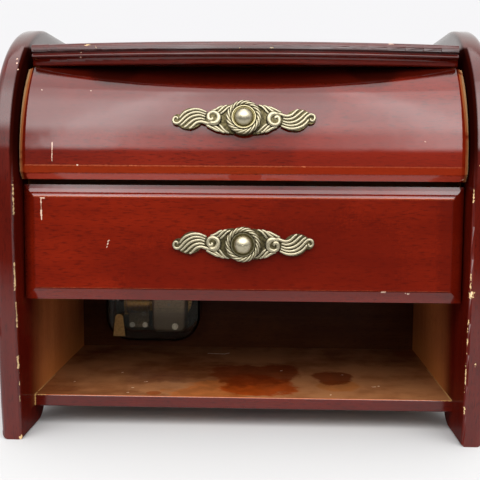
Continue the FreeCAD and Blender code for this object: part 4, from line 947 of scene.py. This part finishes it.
class Instancer(Nodes):
    """Geometry tree that repeats a mesh and gives the copies one material."""

    def __init__(self, name: str, **kinds: str) -> None:
        """Start a tree.

        Args:
            name: the tree's name.
            kinds: kind of each named input, besides the geometry and the material.
        """
        super().__init__(bpy.data.node_groups.new(name, "GeometryNodeTree"))
        interface = self.tree.interface
        self.sockets: dict[str, str] = {}
        for key, kind in {"Geometry": "Geometry", "Material": "Material", **kinds}.items():
            made = interface.new_socket(name=key, in_out="INPUT", socket_type=f"NodeSocket{kind}")
            self.sockets[key] = made.identifier
        interface.new_socket(name="Geometry", in_out="OUTPUT", socket_type="NodeSocketGeometry")
        self.given = self.add("NodeGroupInput").outputs

    def about_y(self, angle: Socket) -> Socket:
        """Rotation by an angle about the Y axis."""
        turn = self.add("ShaderNodeCombineXYZ", {"Y": angle}).outputs[0]
        return self.add("FunctionNodeEulerToRotation", {0: turn}).outputs[0]

    def close(self, points: Socket, shape: Socket, rotation: Socket) -> None:
        """Set a copy of a shape at each point, turn all into plain mesh, set the material and end the tree."""
        placed = {"Points": points, "Instance": shape, "Rotation": rotation}
        copies = self.add("GeometryNodeInstanceOnPoints", placed).outputs[0]
        real = self.add("GeometryNodeRealizeInstances", {"Geometry": copies}).outputs[0]
        dressed = self.add("GeometryNodeSetMaterial", {"Geometry": real, "Material": self.given["Material"]})
        self.add("NodeGroupOutput", {0: dressed.outputs[0]})

    def run(self, mesh: Mesh, name: str, values: dict[str, object]) -> Mesh:
        """Evaluate the tree on a mesh.

        Args:
            mesh: geometry that goes in.
            name: name of the mesh that comes out.
            values: value for each named input.

        Returns:
            Plain mesh with every copy in it.
        """
        holder = add_object(name + "_source", mesh)
        modifier = holder.modifiers.new("repeat", "NODES")
        modifier.node_group = self.tree
        for key, value in values.items():
            modifier[self.sockets[key]] = value
        graph = bpy.context.evaluated_depsgraph_get()
        made = bpy.data.meshes.new_from_object(holder.evaluated_get(graph))
        made.name = name
        bpy.data.objects.remove(holder)
        return made


class RoundCopies(Instancer):
    """Copies of a mesh set round the Y axis."""

    def __init__(self) -> None:
        """Build the tree."""
        super().__init__("round_copies", Count="Int")
        count = self.given["Count"]
        points = self.add("GeometryNodePoints", {"Count": count}).outputs[0]
        index = self.add("GeometryNodeInputIndex").outputs[0]
        turn = self.math("DIVIDE", self.times(index, 2 * math.pi), count)
        self.close(points, self.given["Geometry"], self.about_y(turn))


class PinField(Instancer):
    """Pins scattered over a drum's skin, each standing straight out of it."""

    def __init__(self) -> None:
        """Build the tree."""
        super().__init__("pin_field", Density="Float", Radius="Float", Height="Float", Seed="Int")
        given = self.given
        spread = self.add(
            "GeometryNodeDistributePointsOnFaces",
            {"Mesh": given["Geometry"], "Density": given["Density"], "Seed": given["Seed"]})
        pin = self.add(
            "GeometryNodeMeshCylinder", {"Vertices": 6, "Radius": given["Radius"], "Depth": given["Height"]})
        self.close(spread.outputs["Points"], pin.outputs["Mesh"], spread.outputs["Rotation"])


class PlacedCopies(Instancer):
    """Copies of one piece at a mesh's points, each turned about the Y axis by its own angle."""

    def __init__(self) -> None:
        """Build the tree."""
        super().__init__("placed_copies", Piece="Object", Seed="Int")
        points = self.add("GeometryNodeMeshToPoints", {"Mesh": self.given["Geometry"]}).outputs[0]
        shape = self.add("GeometryNodeObjectInfo", {"Object": self.given["Piece"]}).outputs["Geometry"]
        spin = self.add(
            "FunctionNodeRandomValue", {3: 2 * math.pi, "Seed": self.given["Seed"]}, data_type="FLOAT")
        self.close(points, shape, self.about_y(spin.outputs[1]))


@dataclass
class SlottedScrews:
    """Slotted screws of one row, in the place of a CAD node; millimetres."""

    node: str
    body: str
    slot: str
    places: Line
    head_radius: float
    head_from: float
    head_to: float
    shank_radius: float
    shank_end: float
    seed: int
    sides: int = 28
    slot_share: float = 0.17
    slot_depth: float = 0.55

    def build(self, material: Material, copies: PlacedCopies) -> None:
        """Make the screws and let them stand for the CAD node."""
        points = bpy.data.meshes.new(self.node + "_points")
        points.from_pydata([(x * MM, 0.0, z * MM) for x, z in self.places], [], [])
        shape = add_object(self.node + "_shape", self.shape())
        values = {"Material": material, "Piece": shape, "Seed": self.seed}
        mesh = copies.run(points, self.node + "_slotted", values)
        bpy.data.objects.remove(shape)
        made = piece(mesh.name, mesh, material, self.body)
        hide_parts(self.node)

    def ring(self, work: bmesh.types.BMesh, depth: float) -> list[bmesh.types.BMVert]:
        """Points round the head, two of them at each end of the slot."""
        half = math.asin(self.slot_share)
        arc = np.linspace(half, math.pi - half, self.sides // 2)
        reach = self.head_radius * MM
        return [
            work.verts.new((reach * math.cos(turn), depth * MM, reach * math.sin(turn)))
            for turn in np.concatenate([arc, arc + math.pi])]

    def shape(self) -> Mesh:
        """One screw along Y: slotted head and plain shank."""
        work = bmesh.new()
        verts = self.ring(work, self.head_to - self.slot_depth * (self.head_to - self.head_from))
        half = len(verts) // 2
        lobes = [work.faces.new(verts[:half]), work.faces.new(verts[half:])]
        strip = work.faces.new((verts[half - 1], verts[half], verts[-1], verts[0]))
        base = bmesh.ops.extrude_face_region(work, geom=[*lobes, strip], use_keep_orig=True)
        set_level(base["geom"], 1, self.head_from * MM)
        raised = bmesh.ops.extrude_discrete_faces(work, faces=lobes)
        set_level([vert for face in raised["faces"] for vert in face.verts], 1, self.head_to * MM)
        radius = self.shank_radius * MM
        shank = bmesh.ops.create_cone(
            work, cap_ends=True, segments=self.sides, radius1=radius, radius2=radius,
            depth=abs(self.shank_end - self.head_from) * MM)
        lay = Matrix.Rotation(math.pi / 2, 4, "X")
        middle = Matrix.Translation((0, (self.shank_end + self.head_from) / 2 * MM, 0))
        bmesh.ops.transform(work, matrix=middle @ lay, verts=shank["verts"])
        return fill_mesh(work, bpy.data.meshes.new(self.node + "_one"))


HINGE_X = (-77.5, -62.5, 62.5, 77.5)
HINGE_SCREW = (1.7, 69.9, 70.6, 1.0, 65.9)
SCREW_ROWS = (
    SlottedScrews("hinge_fixed_screws", "chest", "brass", tuple((x, 181.45) for x in HINGE_X), *HINGE_SCREW, 11),
    SlottedScrews("hinge_lid_screws", "lid", "brass", tuple((x, 193.85) for x in HINGE_X), *HINGE_SCREW, 12),
    SlottedScrews("movement_screws", "chest", "steel", ((-80.0, 66.0), (-38.0, 66.0), (-69.4, 39.2)),
                  2.8, 69.0, 70.2, 1.45, 62.75, 13),
    SlottedScrews("housing_screws", "chest", "steel", ((-46.0, 35.0), (-54.0, 63.0)), 2.0, 42.0, 41.0, 1.0, 44.0, 14),
    SlottedScrews("comb_screws", "chest", "steel", ((-75.2, 33.9), (-66.8, 33.9)), 1.7, 52.25, 51.25, 1.0, 57.25, 15),
)


@dataclass
class CastPull:
    """Scroll pull on a drawer: ribbed wings, scrolls, leaf strands and a rope ring round the knob; millimetres."""

    prefix: str
    seat: Point
    tilt: float
    plate: float = 1.8
    rib_lift: float = 0.1
    rib_height: float = 1.1
    root_lift: float = 0.25
    ring: float = 7.3
    rope: float = 1.3
    ring_lift: float = 4.4
    strands: int = 18
    strand_widths: tuple[float, ...] = (0.34, 0.54, 0.60, 0.54, 0.34)
    strand_lay: float = 3.0
    strand_wrap: float = 100.0
    strand_sunk: Span = (0.35, 0.45)
    scroll_at: Span = (14.6, -0.3)
    scroll_lift: float = 2.6
    scroll_height: float = 0.95
    scroll_root: Line = (
        (26.6, 5.0), (25.4, 4.4), (24.2, 3.2), (22.8, 2.0), (20.7, 1.5), (18.7, 2.0), (17.3, 2.4))
    scroll_turn: Line = (
        (1.3, 2.62), (0.0, 2.80), (-1.6, 2.20), (-2.45, 0.7), (-2.4, -0.9), (-1.4, -2.25), (0.4, -2.85),
        (2.0, -2.25), (2.60, -0.8), (2.2, 0.75), (1.15, 1.10), (0.70, 0.45), (0.95, -0.05), (1.2, 0.1))
    scroll_widths: tuple[float, ...] = (
        0.50, 0.60, 0.70, 0.74, 0.76, 0.80, 0.86, 0.94, 1.06, 1.26, 1.46, 1.46, 1.34, 1.18, 1.04, 0.94, 0.92, 0.98,
        1.08, 1.16, 1.16)
    wing_widths: tuple[float, ...] = (0.46, 0.70, 0.76, 0.72, 0.56)
    wing_ribs: tuple[Line, ...] = (
        ((18.6, 0.5), (21.0, -0.1), (23.8, 0.5), (26.0, 2.1), (27.7, 3.7), (29.1, 4.5)),
        ((18.4, -0.9), (21.4, -1.8), (24.8, -1.2), (27.4, 0.5), (29.4, 2.5), (31.0, 3.6)),
        ((18.2, -2.1), (21.8, -3.3), (25.4, -2.9), (28.4, -1.0), (30.4, 1.2), (32.1, 2.4), (33.8, 1.9),
         (34.2, 0.3), (33.2, -0.9), (32.1, -0.3), (32.5, 0.6)),
        ((17.7, -3.2), (21.6, -4.7), (25.0, -4.7), (28.2, -3.5), (30.2, -1.7), (31.4, 0.1)),
    )
    leaf_height: float = 1.15
    leaf_widths: tuple[float, ...] = (0.46, 0.72, 0.78, 0.74, 0.52)
    leaf_strands: tuple[Line, ...] = (
        ((6.7, 7.1), (8.4, 6.5), (9.9, 5.2), (11.0, 3.8), (12.2, 2.6)),
        ((8.9, 7.0), (10.7, 6.3), (12.3, 5.0), (13.8, 3.9), (15.4, 3.3)),
        ((11.3, 6.3), (13.1, 5.7), (14.9, 4.8), (16.6, 3.9), (18.3, 3.2)),
        ((5.9, -6.7), (7.6, -5.9), (8.9, -4.6), (10.3, -3.3), (11.7, -2.4)),
        ((7.9, -7.0), (9.6, -6.2), (10.9, -4.9), (12.1, -3.7), (13.3, -3.2)),
        ((10.1, -6.7), (11.8, -5.9), (13.2, -4.9), (14.7, -4.2), (16.3, -3.9)),
    )

    def stand(self) -> Matrix:
        """Where the pull's own frame stands on the drawer front."""
        turn = Euler((-math.radians(self.tilt), 0, 0)).to_matrix().to_4x4()
        return Matrix.Translation(Vector(self.seat) * MM) @ turn

    def scroll_path(self) -> list[Point]:
        """Line from the wing's top rib round the scroll to its eye."""
        path = [(x, z, self.plate + self.root_lift) for x, z in self.scroll_root]
        return path + [(self.scroll_at[0] + x, self.scroll_at[1] + z, self.scroll_lift) for x, z in self.scroll_turn]

    def scrollwork(self) -> Mesh:
        """Ribs, leaf strands and scrolls of both wings."""
        work = Sweep()
        sets = (
            (self.wing_ribs, self.wing_widths, self.rib_height, 6),
            (self.leaf_strands, self.leaf_widths, self.leaf_height, 4))
        for paths, widths, height, density in sets:
            for path in paths:
                lifted = [(x, z, self.plate + self.rib_lift) for x, z in path]
                work.rib(lifted, widths, height, samples=density * len(path))
        work.rib(self.scroll_path(), self.scroll_widths, self.scroll_height, samples=110)
        work.turned_half()
        return work.mesh(f"{self.prefix}_pull_scrollwork")

    def strand(self, steps: int = 15) -> Mesh:
        """One rope strand, laid across the ring's round body."""
        work = Sweep()
        lay = 2 * math.pi / self.strands * self.strand_lay
        centre = []
        for share in (step / (steps - 1) for step in range(steps)):
            section = math.radians(-self.strand_wrap + 2 * self.strand_wrap * share)
            angle = lay * (share - 0.5)
            reach = self.ring + (self.rope - self.strand_sunk[0]) * math.sin(section)
            lift = self.ring_lift + (self.rope - self.strand_sunk[1]) * math.cos(section)
            centre.append((reach * math.sin(angle), reach * math.cos(angle), lift))
        work.rib(centre, self.strand_widths, self.rib_height, samples=24, sides=10)
        return work.mesh("strand")

    def build(self, looks: Finishes, copies: RoundCopies) -> None:
        """Make the ornament and dress the pull's CAD nodes."""
        values = {"Material": looks.ornament, "Count": self.strands}
        rope = copies.run(self.strand(), f"{self.prefix}_pull_rope", values)
        for made in (self.scrollwork(), rope):
            made.transform(self.stand())
            piece(made.name, made, looks.ornament, f"{self.prefix}_drawer")
        dress(looks.ground, f"{self.prefix}_pull_backplate")
        dress(looks.knob(f"{self.prefix}_knob_silver", self.seat, self.tilt), f"{self.prefix}_pull_knob")
        dress(looks.steel, f"{self.prefix}_pull_screw")


@dataclass
class Case:
    """The chest's fixed woodwork and its lid."""

    lacquered: tuple[str, ...] = ("left_side_panel", "right_side_panel")
    stained: tuple[str, ...] = ("bay_board", "drawer_board", "tray_floor", "tray_rail")

    def build(self, looks: Finishes) -> None:
        """Dress the case."""
        dress(looks.panel, *self.lacquered)
        dress(looks.shelf, "bottom_shelf")
        dress(looks.stained, *self.stained)
        dress(looks.back, "back_panel")
        dress(looks.lid, "lid_board")
        for side in ("left", "right"):
            dress(looks.brass, f"{side}_hinge_fixed_leaf", f"{side}_hinge_lid_leaf")
            dress(looks.steel, f"{side}_hinge_pin")


@dataclass
class Drawer:
    """One drawer: dressed front and box."""

    prefix: str

    def build(self, looks: Finishes) -> None:
        """Dress the drawer."""
        front = looks.upper_front if self.prefix == "upper" else looks.lower_front
        dress(front, f"{self.prefix}_drawer_front")
        dress(looks.stained_deep, *(f"{self.prefix}_drawer_{part}" for part in ("left_side", "right_side")))
        dress(looks.stained, *(f"{self.prefix}_drawer_{part}" for part in ("back", "floor")))


@dataclass
class FeltLining:
    """Felt glued to a floor, cut a little under the floor's size, with a soft edge and slight waves; metres."""

    node: str
    body: str
    floor: str
    cell: float = 0.004
    soft: float = 0.0006
    waviness: float = 0.00015
    waves: Span = (83.0, 61.0)
    bend: Span = (40.0, 23.0)

    def dip(self, x: float, y: float) -> float:
        """How far the waves take the cloth below its highest level."""
        lean = self.bend[0] * math.sin(self.bend[1] * y)
        wave = math.sin(self.waves[0] * x + lean) * math.cos(self.waves[1] * y)
        return self.waviness * (0.5 + 0.5 * wave)

    def build(self, looks: Finishes) -> None:
        """Make the felt in its CAD node's space."""
        low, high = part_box(self.node)
        size = high - low
        across, along = (max(8, round(size[k] / self.cell)) for k in (0, 1))
        work = bmesh.new()
        bmesh.ops.create_grid(work, x_segments=across, y_segments=along, size=0.5)
        for vert in work.verts:
            edge = min(0.5 - abs(vert.co.x), 0.5 - abs(vert.co.y)) < 1e-6
            x, y = low.x + (vert.co.x + 0.5) * size.x, low.y + (vert.co.y + 0.5) * size.y
            vert.co = Vector((x, y, high.z - (self.soft if edge else self.dip(x, y))))
        under = bmesh.ops.extrude_face_region(work, geom=list(work.faces))
        set_level(under["geom"], 2, low.z)
        mesh = fill_mesh(work, bpy.data.meshes.new(self.node + "_cloth"), smooth=True)
        cloth = piece(mesh.name, mesh, looks.felt, self.body)
        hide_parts(self.node)


@dataclass
class Movement:
    """Wind-up music movement behind its smoky cover; millimetres."""

    drum_ends: Span = (-76.8, -65.2)
    drum_axis: Span = (52.75, 49.0)
    drum_radius: float = 6.5
    drum_sides: int = 64
    pin_radius: float = 0.16
    pin_height: float = 0.9
    pins_per_square_metre: float = 300000.0
    seed: int = 7

    def build(self, looks: Finishes, pins: PinField) -> None:
        """Dress the movement and set the drum's pins."""
        dress(looks.cover, "movement_cover")
        dress(looks.plate, "movement_bedplate", "governor_bracket")
        dress(looks.zinc, "spring_housing")
        dress(looks.aged_brass, "stop_lever")
        dress(looks.comb, "music_comb")
        dress(looks.steel, "mainspring", "winding_arbor", "winding_key",
              "cylinder_axle", "governor_arbor", "governor_fly")
        dress(looks.brass, "main_wheel", "tune_cylinder", "cylinder_pinion", "cylinder_wheel", "governor_worm_wheel")
        values = {
            "Material": looks.steel, "Density": self.pins_per_square_metre, "Radius": self.pin_radius * MM,
            "Height": self.pin_height * MM, "Seed": self.seed}
        mesh = pins.run(self.skin(), "drum_pins", values)
        piece("drum_pins", mesh, looks.steel, "cylinder")

    def ring(self, work: bmesh.types.BMesh, x: float) -> list[bmesh.types.BMVert]:
        """Points round the drum at one place along it."""
        turns = (2 * math.pi * step / self.drum_sides for step in range(self.drum_sides))
        (y, z), reach = self.drum_axis, self.drum_radius
        return [work.verts.new(Vector((x, y + reach * math.cos(t), z + reach * math.sin(t))) * MM) for t in turns]

    def skin(self) -> Mesh:
        """The drum's skin between its ends, as an open tube."""
        work = bmesh.new()
        first, last = (self.ring(work, x) for x in self.drum_ends)
        for step in range(self.drum_sides):
            after = (step + 1) % self.drum_sides
            work.faces.new((first[step], first[after], last[after], last[step]))
        return fill_mesh(work, bpy.data.meshes.new("drum_skin"))


@dataclass
class Studio:
    """Pale floor, soft light all round and the camera."""

    eye: Point = (12.27, -485.87, 139.05)
    forward: Point = (-0.03176, 0.99541, -0.0903)
    right: Point = (0.99945, 0.03247, 0.00643)
    focal: float = 833.9
    frame_width: float = 480.0
    sensor: float = 36.0
    nearest: float = 0.01
    backdrop: Colour = (0.93, 0.925, 0.94)
    floor_radius: float = 4.0
    floor_sides: int = 96
    floor_mottle: float = 3.0
    floor_rough: float = 0.8
    floor_tones: tuple[Colour, Colour] = ((0.49, 0.49, 0.49), (0.51, 0.51, 0.51))
    dark_side: Colour = (0.034, 0.034, 0.034)
    dark_from: Span = (-0.24, -0.58)
    wide_band: Line = (
        (0, 4.6), (9, 5.1), (12, 6.6), (15, 7.6), (17, 6.2), (20, 5.6), (34, 5.0), (65, 2.0), (90, 1.0), (180, 0.95))
    upper_share: float = 0.78
    low_band: Line = ((0, 1.2), (9, 3.1), (12, 4.9), (15, 5.2), (17, 1.5), (27, 1.3), (60, 1.0), (180, 0.95))
    skirt: Line = ((0, 0.23), (50, 0.23), (90, 0.6), (180, 0.95))
    over_head: Span = (2.7, 4.3)
    rises: Line = ((7.0, 12.5), (21.0, 32.0), (52.0, 62.0), (65.8, 67.6), (80.0, 86.0))

    def build(self) -> None:
        """Make the stage."""
        self.floor()
        self.world()
        self.camera()
        settings = bpy.context.scene.view_settings
        settings.view_transform = "Standard"
        settings.look = "None"

    def floor(self) -> None:
        """Pale floor with a faint mottle; the studio's dark side shows in the gloss of the fronts."""
        work = bmesh.new()
        bmesh.ops.create_circle(work, cap_ends=True, segments=self.floor_sides, radius=self.floor_radius)
        mesh = bpy.data.meshes.new("floor")
        work.to_mesh(mesh)
        work.free()
        made = add_object("floor", mesh)
        paint = Surface("pale_floor")
        pale = paint.mix(paint.noise(paint.place, self.floor_mottle), *self.floor_tones)
        seen = paint.add("ShaderNodeLightPath").outputs["Is Camera Ray"]
        dark = paint.times(paint.minus(1.0, seen), paint.step(paint.y, *self.dark_from))
        paint.set(
            Base_Color=paint.mix(dark, pale, self.dark_side), Roughness=self.floor_rough, Specular_IOR_Level=0.0)
        mesh.materials.append(paint.material)

    def world(self) -> None:
        """Soft light by direction: a wide band above the camera, two low patches beside it, dim behind and low."""
        world = bpy.data.worlds.new("studio")
        bpy.context.scene.world = world
        world.use_nodes = True
        work = Nodes(world.node_tree)
        work.tree.nodes.clear()
        way = work.add("ShaderNodeTexCoord").outputs["Generated"]
        x, y, z = work.add("ShaderNodeSeparateXYZ", {0: way}).outputs
        rise = work.math("DEGREES", work.math("ARCSINE", z))
        turn = work.math("ABSOLUTE", work.math("DEGREES", work.math("ARCTAN2", x, work.times(y, -1.0))))
        levels = [work.profile(turn, stops) for stops in (self.skirt, self.low_band, self.wide_band)]
        levels += [work.times(levels[-1], self.upper_share), *self.over_head]
        light = levels[0]
        for level, (start, end) in zip(levels[1:], self.rises):
            light = work.mix(work.step(rise, start, end), light, level)
        seen = work.add("ShaderNodeLightPath").outputs["Is Camera Ray"]
        glow = work.add("ShaderNodeBackground", {"Color": work.mix(seen, light, self.backdrop), "Strength": 1.0})
        work.add("ShaderNodeOutputWorld", {"Surface": glow.outputs[0]})

    def camera(self) -> None:
        """Camera at the photograph's eye point."""
        lens = bpy.data.cameras.new("camera")
        lens.sensor_fit = "HORIZONTAL"
        lens.sensor_width = self.sensor
        lens.lens = self.focal / self.frame_width * self.sensor
        lens.clip_start = self.nearest
        made = add_object("camera", lens)
        forward, right = Vector(self.forward).normalized(), Vector(self.right).normalized()
        up = right.cross(forward).normalized()
        turn = Matrix((right, up, -forward)).transposed().to_4x4()
        made.matrix_world = Matrix.Translation(Vector(self.eye) * MM) @ turn
        bpy.context.scene.camera = made


PULLS = (("lower", (0.8, -76.5, 100.1), 0.0), ("upper", (0.8, -77.65, 160.3), 17.2))


def main() -> None:
    """Build every part of the scene in order."""
    logging.basicConfig(level=logging.INFO, format="%(message)s")
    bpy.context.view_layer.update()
    looks = Finishes()
    copies, pins = RoundCopies(), PinField()
    Case().build(looks)
    LOG.info("case dressed")
    for prefix, seat, tilt in PULLS:
        Drawer(prefix).build(looks)
        CastPull(prefix, seat, tilt).build(looks, copies)
        FeltLining(f"{prefix}_drawer_felt", f"{prefix}_drawer", f"{prefix}_drawer_floor").build(looks)
        LOG.info("%s drawer built", prefix)
    FeltLining("tray_felt", "chest", "tray_floor").build(looks)
    LOG.info("tray lined")
    Movement().build(looks, pins)
    LOG.info("movement built")
    placed = PlacedCopies()
    for row in SCREW_ROWS:
        row.build(looks.brass if row.slot == "brass" else looks.bright_steel, placed)
        LOG.info("%s set", row.node)
    Studio().build()
    LOG.info("stage set")


if __name__ == "__main__":
    main()
